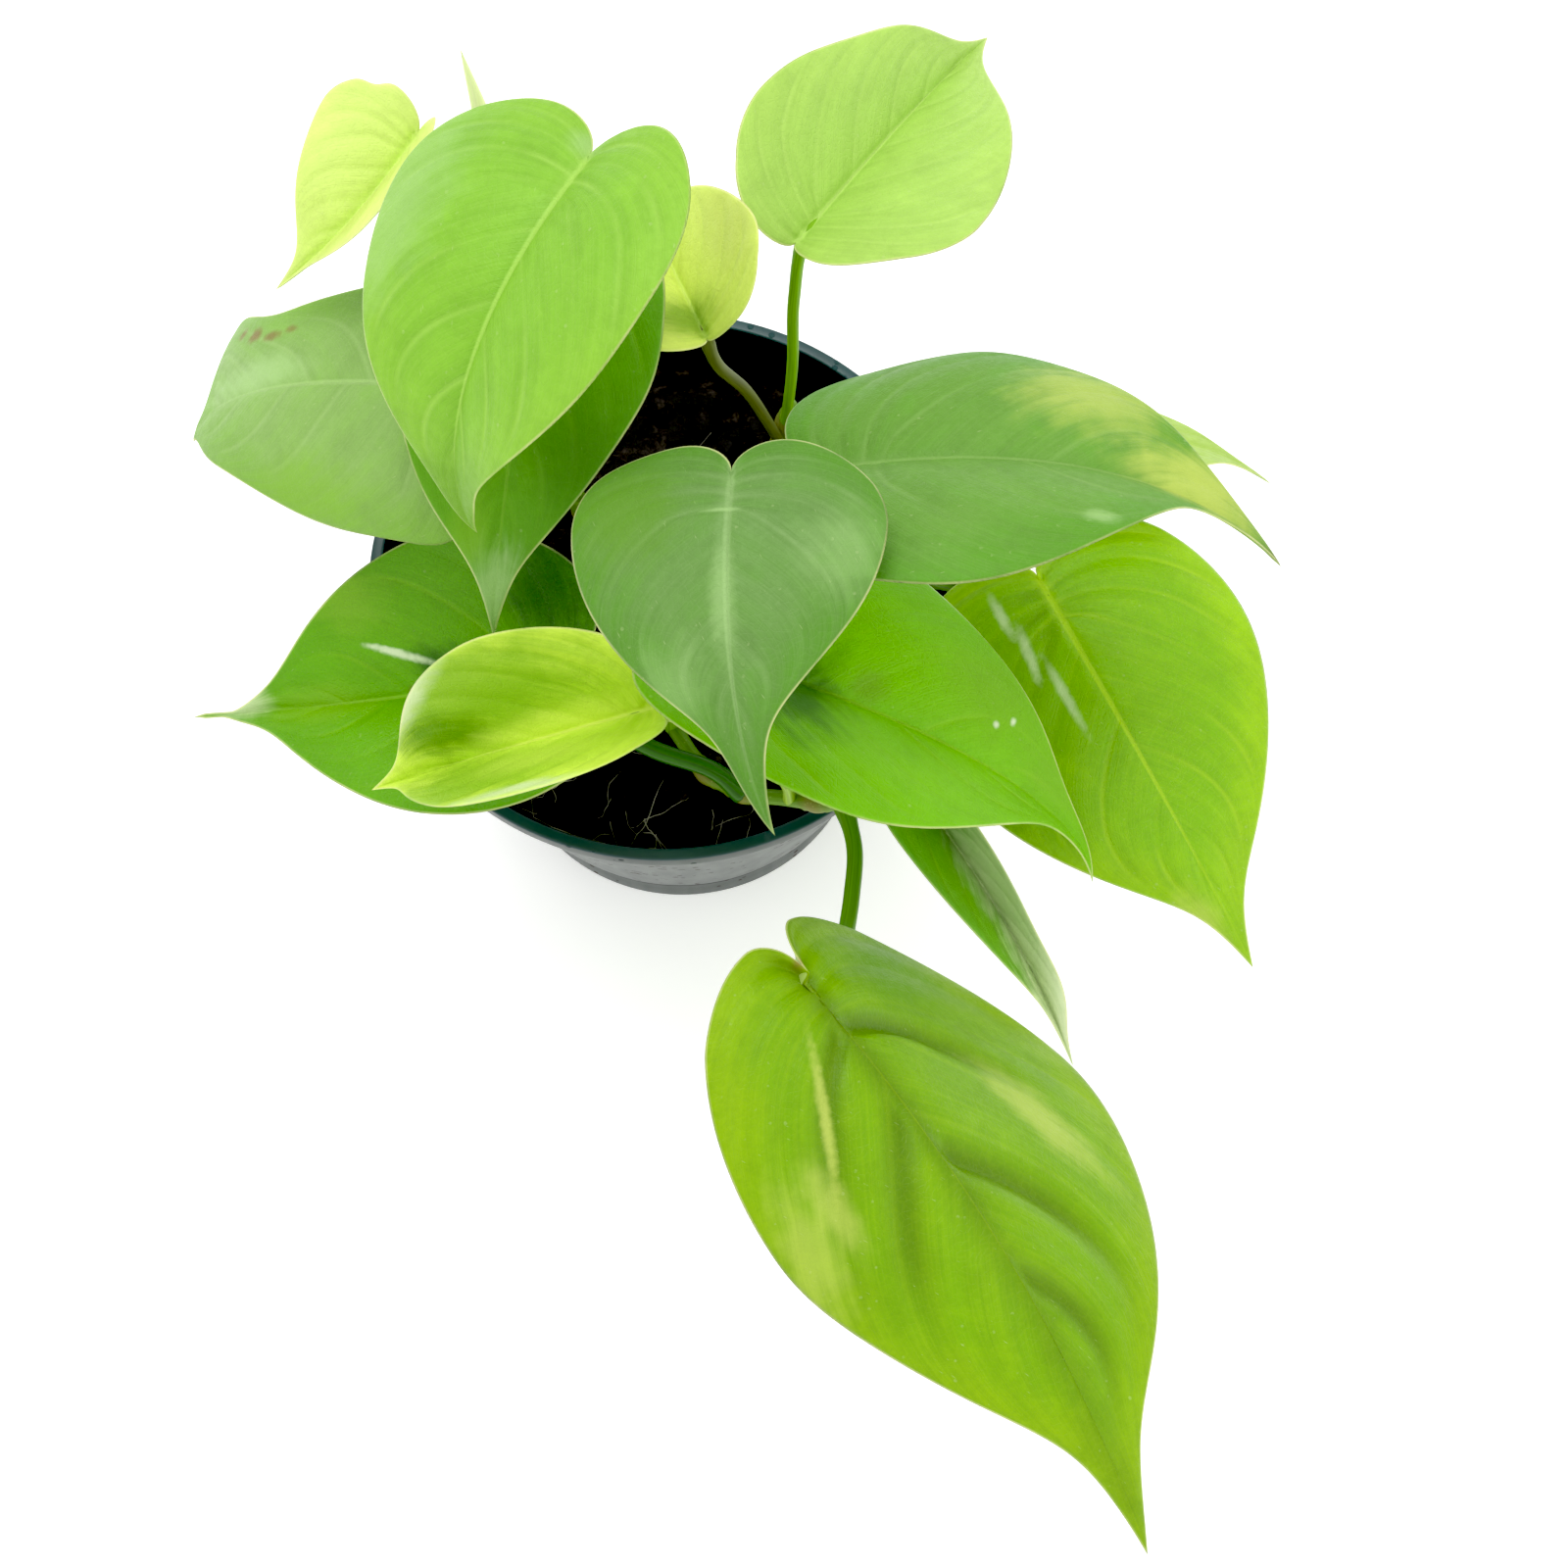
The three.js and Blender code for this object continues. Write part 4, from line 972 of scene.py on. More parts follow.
def midrib(leaf, along):
    """Place, direction and first normal of the midrib at shares of its length.

    Its direction turns down by droop along^1.4 and aside by sway along^1.2, with the hook's turns at the tip, and
    its place is the running sum.
    """
    heading, pitch, roll = (math.radians(leaf[key]) for key in ("heading", "pitch", "roll"))
    level = math.cos(pitch)
    forward = np.array([level * math.cos(heading), level * math.sin(heading), math.sin(pitch)])
    flat = np.array([math.sin(heading), -math.cos(heading), 0])
    up = np.cross(flat, forward)
    side = flat * math.cos(roll) + up * math.sin(roll)
    normal = up * math.cos(roll) - flat * math.sin(roll)
    start = -1.3 * leaf["lobe"]
    t = np.linspace(start, 1, RIB_TABLE)
    behind = -math.radians(10) * t / start
    bend = np.where(t < 0, behind, math.radians(leaf["droop"]) * np.abs(t) ** 1.4)
    sway = math.radians(leaf["sway"]) * np.sign(t) * np.abs(t) ** 1.2
    aside, down = np.radians(leaf["hook"])
    sway = sway + aside * np.maximum(t, 0) ** HOOK_POWER
    bend = bend + down * np.maximum(t, 0) ** HOOK_POWER
    directions = (
        (np.cos(bend) * np.cos(sway))[:, None] * forward
        + (np.cos(bend) * np.sin(sway))[:, None] * side
        - np.sin(bend)[:, None] * normal
    )
    steps = (directions[1:] + directions[:-1]) / 2 * (t[1] - t[0]) * leaf["length"]
    places = np.concatenate([np.zeros((1, 3)), np.cumsum(steps, axis=0)])

    def at(table, share):
        return np.stack([np.interp(share, t, table[:, k]) for k in range(3)], axis=-1)

    direction = at(directions, along)
    direction /= np.linalg.norm(direction, axis=-1, keepdims=True)
    return np.array(leaf["base"]) + at(places, along) - at(places, np.array(0.0)), direction, normal


def blade_points(leaf, across, along, lift):
    """Middle surface and its facing: from the midrib each half runs out on an arc that starts at fold and turns
    back by arch over the half width, and lift raises it.
    """
    place, direction, normal = midrib(leaf, along)
    up = normal - direction * (direction @ normal)[..., None]
    up /= np.linalg.norm(up, axis=-1, keepdims=True)
    side = np.cross(direction, up)
    twist = math.radians(leaf["twist"]) * along[..., None]
    right = side * np.cos(twist) + up * np.sin(twist)
    up = up * np.cos(twist) - side * np.sin(twist)
    hand = np.where(across < 0, -1.0, 1.0)
    half = (across >= 0).astype(int)
    width = np.abs(across) * leaf["half_width"] * (1 - hand * leaf["bias"])
    fold = np.radians(np.array(leaf["fold"], float))[half]
    curl = np.radians(np.array(leaf["arch"], float))[half] / leaf["half_width"]
    slope = fold - curl * width
    out = (np.sin(fold) - np.sin(slope)) / curl
    rise = (np.cos(slope) - np.cos(fold)) / curl + lift
    points = place + right * (hand * out)[..., None] + up * rise[..., None]
    tilt = np.where(across == 0, 0, slope)
    facing = up * np.cos(tilt)[..., None] - right * (hand * np.sin(tilt))[..., None]
    return points, facing


def vein_field(row, share):
    """A number that is whole on each lateral vein: the row less the veins' run forward, in their pitches."""
    run = VEIN_ADVANCE * (0.6 * share + 0.4 * share**3)
    return (row - run - VEIN_START) / VEIN_PITCH


def vein_spacing(right, forward, veins):
    """Millimetres from one vein to the next: one over the gradient of the vein field on the flat blade."""
    (xi, xj), (yi, yj), (vi, vj) = np.gradient(right), np.gradient(forward), np.gradient(veins)
    area = xi * yj - xj * yi
    area = np.where(np.abs(area) < TINY, TINY, area)
    steep = np.hypot(vi * yj - vj * yi, xi * vj - xj * vi) / np.abs(area)
    return np.clip(1 / np.maximum(steep, 1e-3), *SPACING_LIMITS)


def margin_distance(right, forward, rib, share, u):
    """Millimetres to the margin: the rest of the way out along the row, times the sine of its angle there."""
    arm = np.stack([right, forward - rib], axis=-1)[:, [0, -1]]
    ends = np.stack([right, forward], axis=-1)[:, [0, -1]]
    run = np.gradient(ends, axis=0)
    reach = np.abs(arm[..., 0] * run[..., 1] - arm[..., 1] * run[..., 0])
    reach /= np.maximum(np.linalg.norm(run, axis=-1), TINY)
    return (1 - share) * np.where(u < 0, reach[:, :1], reach[:, 1:])


class Blade:
    """A leaf's blade laid flat, as grids of rows from the notch to the tip by strips from margin to margin.

    hand is -1 left and 1 right of the midrib, and share how far out to the margin a point lies. along and across
    are its place in lengths and half widths, forward and right the same in millimetres. vein is whole on each
    lateral vein, spacing the way from one vein to the next, and edge the distance to the margin.
    """

    def __init__(self, leaf):
        row, x, y, rib = (values[:, None] for values in blade_rows(leaf))
        u = np.linspace(-1, 1, 2 * STRIPS + 1)[None]
        share = np.abs(u) - STRIP_CROWDING * np.sin(2 * np.pi * np.abs(u))
        hand = np.where(u < 0, -1.0, 1.0)
        x, y = outer_ends(leaf, row, x, y, hand)
        veins = vein_field(row, share)
        self.leaf, self.row, self.share, self.hand = leaf, row, share, hand
        self.along = rib + (y - rib) * share
        self.across = hand * x * share
        self.right = self.across * leaf["half_width"] * (1 - hand * leaf["bias"])
        self.forward = self.along * leaf["length"]
        self.vein = veins + VEIN_OFFSET * hand
        self.spacing = vein_spacing(self.right, self.forward, veins)
        self.edge = margin_distance(self.right, self.forward, rib * leaf["length"], share, u)

    def wave(self):
        """The margin's lift: a sine of the row that grows with the cube of share and rests at both ends."""
        turns = 2 * np.pi * WAVE_COUNT * self.row / LAST_ROW
        wave = self.leaf["wave"] * self.share**3 * np.sin(turns + self.hand)
        return wave * (np.minimum(1, 4 * self.row / LAST_ROW) * np.minimum(1, 4 * (1 - self.row / LAST_ROW)))

    def living(self):
        """How strong the veins' relief is: it fades out at the midrib, the margin and the tip."""
        living = smooth_step(self.share, 0.0, 0.1) * smooth_step(self.edge, 0.3, 4)
        living = living * smooth_step(1 - self.along, 0.02, 0.3)
        return living * (np.round(self.vein) <= VEIN_LAST)

    def relief(self, settings):
        """Depths of the veins' grooves, of the quilting, of the midrib's groove and of its valley, and a shade.

        The grooves are bell curves of the distance from the vein or midrib. The quilting is a cosine of the vein
        field, deepened by the leaf's furrows. The shade is shade painted into the colour: 1 at the bottom of a
        deep furrow, and raised along the midrib's valley by trough.
        """
        leaf, tip = self.leaf, np.clip(self.along, 0, 1)
        from_vein = np.abs(self.vein - np.round(self.vein)) * self.spacing
        living = self.living()
        groove = settings.vein_depth / MM * bell(from_vein, VEIN_WIDTH) * living
        quilt = leaf["quilt"] * (0.5 + 0.5 * np.cos(2 * np.pi * self.vein)) * living * (1 - tip)
        shade = np.zeros(quilt.shape)
        for number, side, depth, width, reach in leaf["furrows"]:
            off = np.minimum(np.abs(self.vein - number) * self.spacing, FURROW_REACH)
            run_out = living * (1 - smooth_step(self.share, 0.4 * reach, reach))
            valley = bell(off, width) * run_out * (self.hand == side)
            quilt = quilt + depth * valley
            shade = np.maximum(shade, min(1, depth) * valley)
        fading = 1 - 0.85 * tip
        notch = smooth_step(self.row, 0, 1.2) * smooth_step(self.edge, 0, 2.5)
        rib_groove = settings.rib_depth / MM * bell(self.right, RIB_WIDTH) * fading * notch
        valley = bell(self.right, TROUGH_WIDTH) * fading * notch * smooth_step(self.edge, 0.5, 5)
        trough = leaf.get("trough", 0.7 * leaf["quilt"]) * valley
        narrow = bell(self.right, TROUGH_SHADE_WIDTH) * (1 - 0.6 * tip) * notch
        shade = np.maximum(shade, min(0.9, leaf.get("trough", 0)) * narrow)
        return groove, quilt, rib_groove, trough, shade

    def numbers(self):
        """Point numbers of the upper and the lower grid, which share the margin, the notch and the tip."""
        count = self.edge.size
        upper = np.arange(count).reshape(self.edge.shape)
        upper[0] = upper[0, 0]
        upper[-1] = upper[-1, 0]
        lower = upper + count
        lower[:, [0, -1]] = upper[:, [0, -1]]
        lower[[0, -1]] = upper[[0, -1]]
        return upper, lower


def blade_skin(leaf, settings):
    """The blade as a closed skin that is thick at the midrib and runs out to nothing at the margin.

    The relief is cut into the upper surface and stands out of the lower one.
    """
    blade = Blade(leaf)
    points, facing = blade_points(leaf, blade.across, blade.along, blade.wave())
    groove, quilt, rib_groove, trough, shade = blade.relief(settings)
    half = settings.thickness / MM / 2 * (1 - np.exp(-blade.edge / THIN_MARGIN))
    upper = half - groove - quilt - rib_groove - trough
    lower = half + VEIN_RIDGE * groove + quilt + RIB_RIDGE * rib_groove + trough
    upper, lower = (np.where(blade.edge < TINY, 0, value)[..., None] for value in (upper, lower))
    surface = np.concatenate([part.reshape(-1, 3) for part in (points + facing * upper, points - facing * lower)])

    def pair(x, y, z):
        grids = np.broadcast_arrays(x, y, z)
        return np.tile(np.stack(grids, axis=-1).reshape(-1, 3), (2, 1))

    values = dict(
        blade=pair(blade.right, blade.forward, blade.share),
        vein=pair(blade.vein, blade.spacing, blade.along),
        edge=np.tile(blade.edge.reshape(-1), 2),
        # furrow carries the shade that is painted at the furrows' bottoms and along the midrib's valley.
        furrow=np.tile(shade.reshape(-1), 2),
        face=np.repeat([1.0, -1.0], blade.edge.size),
    )
    above, under = blade.numbers()
    faces = np.concatenate([grid_faces(above), grid_faces(under[:, ::-1])])
    used, faces = np.unique(faces, return_inverse=True)
    values = {key: value[used] for key, value in values.items()}
    return Skin(surface[used], faces.reshape(-1, 4), **values).outward()


def stalk_skin(leaf):
    """The stalk: a tube with a sheath that is wide at the vine, a swelling under the blade, a shallow groove on
    one side, and an end that thins out under the midrib.
    """
    under, facing = blade_points(leaf, np.zeros(2), np.array(STALK_RUN), np.zeros(2))
    clearance = 0.5 * leaf["quilt"] + STALK_CLEARANCE + leaf.get("trough", 0)
    under = under - (leaf["stalk_radius"] + clearance) * facing
    points = list(leaf["stalk"]) + list(under)
    path, run = evenly(points, STALK_STEP, 12)
    run_under = (STALK_RUN[1] - STALK_RUN[0]) * leaf["length"]
    to_blade = run[-1] - run_under - run
    sheath = SHEATH * bell(run, SHEATH_LENGTH)
    swelling = SWELLING * bell(to_blade - SWELLING_PLACE, SWELLING_LENGTH)
    thin = np.where(to_blade < 0, 1 + 0.8 * to_blade / run_under, 1)
    radii = leaf["stalk_radius"] * (1 + sheath + swelling) * thin
    angle = 2 * np.pi * np.arange(STALK_SIDES) / STALK_SIDES
    groove = 1 - 0.14 * bell(np.minimum(angle, 2 * np.pi - angle), 0.45)
    skin = tube(path, radii[:, None] * groove[None], STALK_SIDES)
    skin.values["stalk"] = np.ones(len(skin.points))
    skin.values["edge"] = np.full(len(skin.points), FAR_FROM_MARGIN)
    return skin


def tuned(colour, leaf, settings, power=1.0):
    """The colour mixed towards a young leaf's by youth, and scaled by a power of the leaf's tint."""
    young = np.array(settings.young_centre)
    mixed = np.array(colour) * (1 - leaf["youth"]) + young * leaf["youth"]
    return tuple(float(value) for value in np.clip(mixed * np.array(leaf["tint"]) ** power, 0, 1))


class LeafPaint:
    """A leaf's material as it is built up: its sockets, its colours, and the layers mixed so far into colour."""

    def __init__(self, name, leaf, settings):
        n = self.n = Nodes(name)
        self.leaf, self.settings = leaf, settings
        kinds = (getattr(settings, f"{leaf['kind']}_{part}") for part in ("centre", "margin", "vein"))
        self.centre, self.margin, self.vein_tint = (
            tuned(colour, leaf, settings, power) for colour, power in zip(kinds, (1, 1, 0.5)))
        self.clear = leaf["veins"]
        self.seed = leaf["seed"] * 7.3
        self.blade = n.attribute("blade", 1)
        self.across, self.forward, self.share = n.parts(self.blade)
        self.phase, self.spacing, self.along = n.parts(n.attribute("vein", 1))
        self.edge = n.attribute("edge")
        self.map = n.moved(self.blade, location=(self.seed, 0, self.seed), scale=(1, 1, 0))
        self.cloud = n.noise(self.map, 0.06, 3, 0.55)
        self.blotch = n.noise(self.map, 0.13, 3, 0.55)
        self.mottle = n.noise(self.map, 0.7, 4, 0.6)
        self.streak = self.combed(5.0, 2.2, 3, 0.6)
        self.thread = self.combed(34.0, 3.0, 2, 0.5)

    def combed(self, over, out, detail, rough):
        """A noise drawn out along the lateral veins: finer across them by over, and along them by out."""
        n = self.n
        place = n.joined(n.times(self.phase, over), n.times(self.share, out), self.seed)
        return n.noise(place, 1.0, detail, rough)

    def lay(self, factor, colour):
        """Mixes a layer's colour into the colours below it."""
        self.colour = self.n.mix(factor, self.colour, colour)

    def ground(self):
        """The margin's green towards the centre's, with streaks along the veins, mottles and blotches."""
        n = self.n
        wander = n.math("MULTIPLY_ADD", self.cloud, 14.0, -7.0)
        inward = n.fade(n.math("ADD", self.edge, wander), 0.0, 11.0)
        self.colour = n.mix(inward, self.margin, self.centre)
        for texture, low, high, most, colour in (
                (self.streak, 0.3, 0.72, 0.3, scaled(self.centre, 0.76)),
                (self.thread, 0.35, 0.7, 0.1, self.vein_tint),
                (self.mottle, 0.4, 0.7, 0.2, scaled(self.centre, 0.75)),
                (self.blotch, 0.5, 0.72, 0.3, scaled(self.centre, 0.7)),
                (self.blotch, 0.46, 0.26, 0.25, scaled(self.margin, 1.25))):
            self.lay(n.fade(texture, low, high, 0, most), colour)

    def veins(self):
        """Dark halos and pale lines on the lateral veins, painted shade in the furrows and along the midrib's
        valley, a faint net, flecks and the midrib.
        """
        n = self.n
        from_vein = n.math("PINGPONG", self.phase, 0.5)
        off_vein = n.times(from_vein, self.spacing)
        off_rib = n.math("ABSOLUTE", self.across)
        number = n.joined(n.math("ROUND", self.phase), n.times(self.share, 0.9), self.seed)
        strength = n.times(n.fade(n.noise(number, 1.7, 1), 0.35, 0.65, 0.15, 1), self.clear)
        inside = n.times(n.fade(self.edge, 0.5, 5), n.fade(self.along, 0.7, 0.95, 1, 0))
        inside = n.times(inside, strength)
        self.lateral = n.times(n.fade(off_vein, 0.0, 0.85, 1, 0), inside)
        halo = n.times(n.fade(off_vein, 0.3, 3.0, 1, 0), inside)
        self.lay(n.times(halo, 0.16), scaled(self.centre, 0.7))
        between = n.fade(from_vein, 0.15, 0.5)
        self.lay(n.times(between, n.fade(self.streak, 0.35, 0.7, 0.2, 0)), self.margin)
        self.lay(n.times(self.lateral, 0.25), self.vein_tint)
        beside = n.times(n.fade(off_rib, 0.3, 2.2, 1, 0), n.fade(self.along, 0.0, 0.3, 1, 0))
        self.lay(n.times(beside, 0.25 * self.clear), self.vein_tint)
        # Painted shade at the furrows' bottoms and along the midrib's valley.
        self.lay(n.times(n.attribute("furrow"), 0.7), scaled(self.centre, 0.36))
        self.net = n.fade(n.cells(self.map, 0.9, "DISTANCE_TO_EDGE"), 0.0, 0.12, 1, 0)
        self.lay(n.times(self.net, 0.05), self.vein_tint)
        self.flecks()
        rib_width = n.fade(self.along, 0, 1, 0.75, 0.2)
        rib = n.fade(n.math("DIVIDE", off_rib, rib_width), 0.4, 1.1, 1, 0)
        rib = n.times(rib, n.fade(self.along, 0.45, 1.0, 1, 0.25))
        self.lay(n.times(rib, 0.45 * self.clear), self.vein_tint)

    def flecks(self):
        """Small pale flecks, and fine scratches that slant across the blade, where the mottles allow them."""
        n = self.n
        fleck = n.times(n.fade(n.cells(self.map, 0.45), 0.1, 0.16, 1, 0), n.fade(self.mottle, 0.5, 0.62))
        self.lay(n.times(fleck, 0.15), self.settings.fleck)
        slanted = n.math("ADD", self.across, n.times(self.forward, 0.5))
        place = n.moved(n.joined(slanted, self.forward, self.seed), scale=(2.4, 0.3, 1))
        scratch = n.times(n.fade(n.cells(place, 0.7), 0.05, 0.12, 1, 0), n.fade(self.mottle, 0.5, 0.6))
        self.lay(n.times(scratch, 0.3), self.settings.fleck)

    def marks(self):
        """The leaf's marks, its own stains and its painted shade, sheen and glints: ellipses whose edges are
        broken by a noise and combed along the veins.
        """
        n = self.n
        broad, fine = n.noise(self.map, 0.25, 2), n.noise(self.map, 0.8, 2)
        for mark_kind, right, forward, wide, long, strength, *turn in self.leaf["marks"]:
            angle = math.radians(turn[0] if turn else 0)
            sine, cosine = math.sin(angle), math.cos(angle)
            aside = n.math("SUBTRACT", self.across, right)
            ahead = n.math("SUBTRACT", self.forward, forward)
            x = n.math("MULTIPLY_ADD", aside, cosine / wide, n.times(ahead, -sine / wide))
            y = n.math("MULTIPLY_ADD", aside, sine / long, n.times(ahead, cosine / long))
            away = n.distance(x, y)
            grain = broad if wide > NARROW_MARK else fine
            combed = min(MARK_COMBED, wide / 10)
            away = n.math("ADD", away, n.math("MULTIPLY_ADD", grain, 2 * MARK_JAGGED, -MARK_JAGGED))
            away = n.math("ADD", away, n.math("MULTIPLY_ADD", self.streak, 2 * combed, -combed))
            # Each mark lays its kind's colour, real stains and painted shade, sheen and glints alike.
            self.lay(n.fade(away, 0.2, 1.35, strength, 0), srgb(*STAINS_AND_PAINTED_LIGHT[mark_kind]))

    def borders(self):
        """The thin pale line round the blade, its paler underside, and the stalk with its stripes."""
        n = self.n
        rim = n.times(n.fade(self.edge, 0.1, 0.45, 1, 0), n.fade(self.cloud, 0.35, 0.6, 0.2, 0.6))
        self.lay(rim, self.settings.rim)
        self.lay(n.fade(n.attribute("face"), -0.5, 0.5, 1, 0), n.mix(0.45, self.colour, self.settings.underside))
        colour = scaled(tuned(self.settings.stalk, self.leaf, self.settings), self.leaf["stalk_tint"])
        place = n.joined(n.attribute("run"), n.times(n.attribute("turn"), 7.0), self.seed)
        stripe = n.fade(n.noise(place, 4, 2), 0.3, 0.7)
        self.lay(n.attribute("stalk"), n.mix(stripe, colour, scaled(colour, 0.66)))

    def finish(self):
        """The whole material: roughness by the mottles, and bumps of cells, veins, net and threads."""
        n, gloss = self.n, self.leaf["gloss"]
        rough = n.fade(self.mottle, 0.3, 0.7, gloss - 0.05, gloss + 0.06)
        grain = n.bump(n.cells(n.place(), 2600), 0.00003, 0.35)
        relief = n.math("MULTIPLY_ADD", self.net, -0.35, self.thread)
        relief = n.math("MULTIPLY_ADD", self.lateral, -1.0, relief)
        return n.finish(self.colour, rough, n.bump(relief, 0.00014, 0.6, grain),
                        Specular_IOR_Level=self.leaf["shine"])


def leaf_material(name, leaf, settings):
    """A leaf's finish from its vein field, its distance from the margin and its place on the blade."""
    paint = LeafPaint(name, leaf, settings)
    for layer in (paint.ground, paint.veins, paint.marks, paint.borders):
        layer()
    return paint.finish()


def rolled_skin(rolled):
    """A spindle whose radius grows by a fifth round each ring and drops back at the seam, like a rolled sheet."""
    path = curve_through(rolled["path"], ROLLED_STEPS)
    t = np.linspace(0, 1, ROLLED_STEPS + 1)
    body = np.interp(t, [0, 0.06, 0.3, 0.75, 1], [0.65, 0.8, 1, 0.85, rolled["tip"] / rolled["radius"] * 0.4])
    body *= np.sqrt(np.clip(1 - ((t - 0.5) * 2) ** 16, 0.02, 1))
    turn = np.arange(ROLLED_SIDES) / ROLLED_SIDES
    seam = np.where(turn < SEAM, 0.86 + 0.2 * turn / SEAM, 1.06 - 0.2 * (turn - SEAM) / (1 - SEAM))
    return tube(path, rolled["radius"] * body[:, None] * seam[None], ROLLED_SIDES, twist=0.7)


def rolled_material(settings):
    """The rolled leaf's pale skin with fine lengthwise veins and a greener foot."""
    n = Nodes("rolled_leaf_skin")
    run, turn = n.attribute("run"), n.attribute("turn")
    lines = n.math("PINGPONG", n.times(turn, 14.0), 0.5)
    fine = n.noise(n.joined(n.times(run, 2.0), n.times(turn, 12.0), 1.0), 2, 2)
    pale = n.mix(n.fade(fine, 0.3, 0.7, 0, 0.6), settings.young_vein, settings.young_margin)
    colour = n.mix(n.fade(lines, 0.0, 0.2, 0.25, 0), pale, settings.young_centre)
    colour = n.mix(n.fade(run, 0.0, 0.4, 0.5, 0), colour, settings.mid_centre)
    colour = n.mix(0.3, colour, srgb(244, 246, 214))
    return n.finish(colour, 0.5, n.bump(lines, 0.0001, 0.4), Specular_IOR_Level=0.3)


# Settings

POT_LENGTHS = ("rim_radius", "rim_height", "foot_radius", "foot_height", "wall", "lip_width", "lip_height")


def length_setting(name, description, default):
    """A length in metres, shown in the scene's unit."""
    return bpy.props.FloatProperty(
        name=name, description=description, default=default, min=0, subtype="DISTANCE", unit="LENGTH",
        precision=5)


def colour_setting(name, description, default):
    """A linear colour of three parts."""
    return bpy.props.FloatVectorProperty(
        name=name, description=description, default=default, min=0, max=1, size=3, subtype="COLOR")


class PotSettings(bpy.types.PropertyGroup):
    """The pot's lengths, colours and roughness"""
    rim_radius: length_setting("Rim radius", "Outer radius of the lip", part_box("pot")[1][0])
    rim_height: length_setting("Rim height", "Height of the lip's top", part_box("pot")[1][2])
    foot_radius: length_setting("Foot radius", "Radius of the foot band", 43 * MM)
    foot_height: length_setting("Foot height", "Height of the foot band", 12 * MM)
    wall: length_setting("Wall", "Thickness of the wall", 1.4 * MM)
    lip_width: length_setting("Lip width", "Width of the lip seen from above", 2.4 * MM)
    lip_height: length_setting("Lip height", "Height of the lip", 4 * MM)
    plastic: colour_setting("Plastic", "Colour of the plastic", srgb(12, 36, 31))
    dust: colour_setting("Dust", "Colour of the film of dust", srgb(150, 150, 140))
    # Painted highlight: the lighter colour of the lip's top stands for the light that it catches.
    lip_highlight: colour_setting("Highlighted plastic", "Colour of the lip's highlighted top", srgb(30, 76, 78))
    peat_speck: colour_setting("Peat specks", "Colour of the specks of peat on the wall", srgb(62, 40, 30))
    roughness: bpy.props.FloatProperty(name="Roughness", description="Roughness of the plastic", default=0.34)


class SoilSettings(bpy.types.PropertyGroup):
    """The peat, its crumbs and its hair roots"""
    level: length_setting("Level", "Mean height of the peat's top", 76 * MM)
    crumb_size: length_setting("Crumb size", "Radius of the largest crumbs", 3.2 * MM)
    crumbs: bpy.props.IntProperty(name="Crumbs", description="Number of crumbs", default=1500, min=0)
    roots: bpy.props.IntProperty(name="Hair roots", description="Number of hair roots", default=60, min=1)
    seed: bpy.props.IntProperty(name="Seed", description="Seed of the draw of crumbs and roots", default=11)
    peat: colour_setting("Peat", "Colour of the peat", srgb(22, 20, 20))
    peat_light: colour_setting("Peat, light", "Colour of the dry crumbs", srgb(68, 60, 54))
    fibre: colour_setting("Fibre", "Colour of the fibres in the peat", srgb(84, 74, 62))
    root_colour: colour_setting("Hair root", "Colour of the hair roots", srgb(168, 162, 152))


class StemSettings(bpy.types.PropertyGroup):
    """The vines"""
    radius: length_setting("Radius", "Radius of the vines", 1.5 * MM)
    knob_scale: bpy.props.FloatProperty(name="Knob", description="Knob radius over vine radius", default=1.5)
    stem: colour_setting("Stem", "Colour of the vines", srgb(100, 144, 16))
    knob: colour_setting("Knob", "Colour at the knobs", srgb(120, 104, 44))
    lenticel: colour_setting("Lenticels", "Colour of the small dots", srgb(150, 170, 80))


class LeafSettings(bpy.types.PropertyGroup):
    """Lengths and colours that all leaves share"""
    thickness: length_setting("Thickness", "Thickness of a blade", 0.6 * MM)
    rib_depth: length_setting("Midrib depth", "Depth of the midrib's groove", 0.45 * MM)
    vein_depth: length_setting("Vein depth", "Depth of the lateral veins' grooves", 0.14 * MM)
    mid_centre: colour_setting("Mid green", "Centre of a mid green leaf", srgb(122, 182, 14))
    mid_margin: colour_setting("Mid green margin", "Margin of a mid green leaf", srgb(142, 192, 40))
    mid_vein: colour_setting("Mid green veins", "Veins of a mid green leaf", srgb(176, 214, 104))
    deep_centre: colour_setting("Deep green", "Centre of a deep green leaf", srgb(92, 156, 12))
    deep_margin: colour_setting("Deep green margin", "Margin of a deep green leaf", srgb(76, 142, 12))
    deep_vein: colour_setting("Deep green veins", "Veins of a deep green leaf", srgb(140, 186, 80))
    dusky_centre: colour_setting("Dusky green", "Centre of a dusky leaf", srgb(126, 168, 96))
    dusky_margin: colour_setting("Dusky green margin", "Margin of a dusky leaf", srgb(102, 162, 44))
    dusky_vein: colour_setting("Dusky green veins", "Veins of a dusky leaf", srgb(162, 194, 134))
    young_centre: colour_setting("Young green", "Centre of a young leaf", srgb(206, 238, 112))
    young_margin: colour_setting("Young green margin", "Margin of a young leaf", srgb(226, 248, 140))
    young_vein: colour_setting("Young green veins", "Veins of a young leaf", srgb(236, 248, 176))
    fleck: colour_setting("Flecks", "Colour of the small pale flecks", srgb(206, 220, 160))
    rim: colour_setting("Margin line", "Colour of the thin line round a blade", srgb(226, 226, 160))
    underside: colour_setting("Underside", "Colour that the undersides tend to", srgb(190, 212, 130))
    stalk: colour_setting("Stalk", "Colour of the leaf stalks", srgb(92, 140, 22))


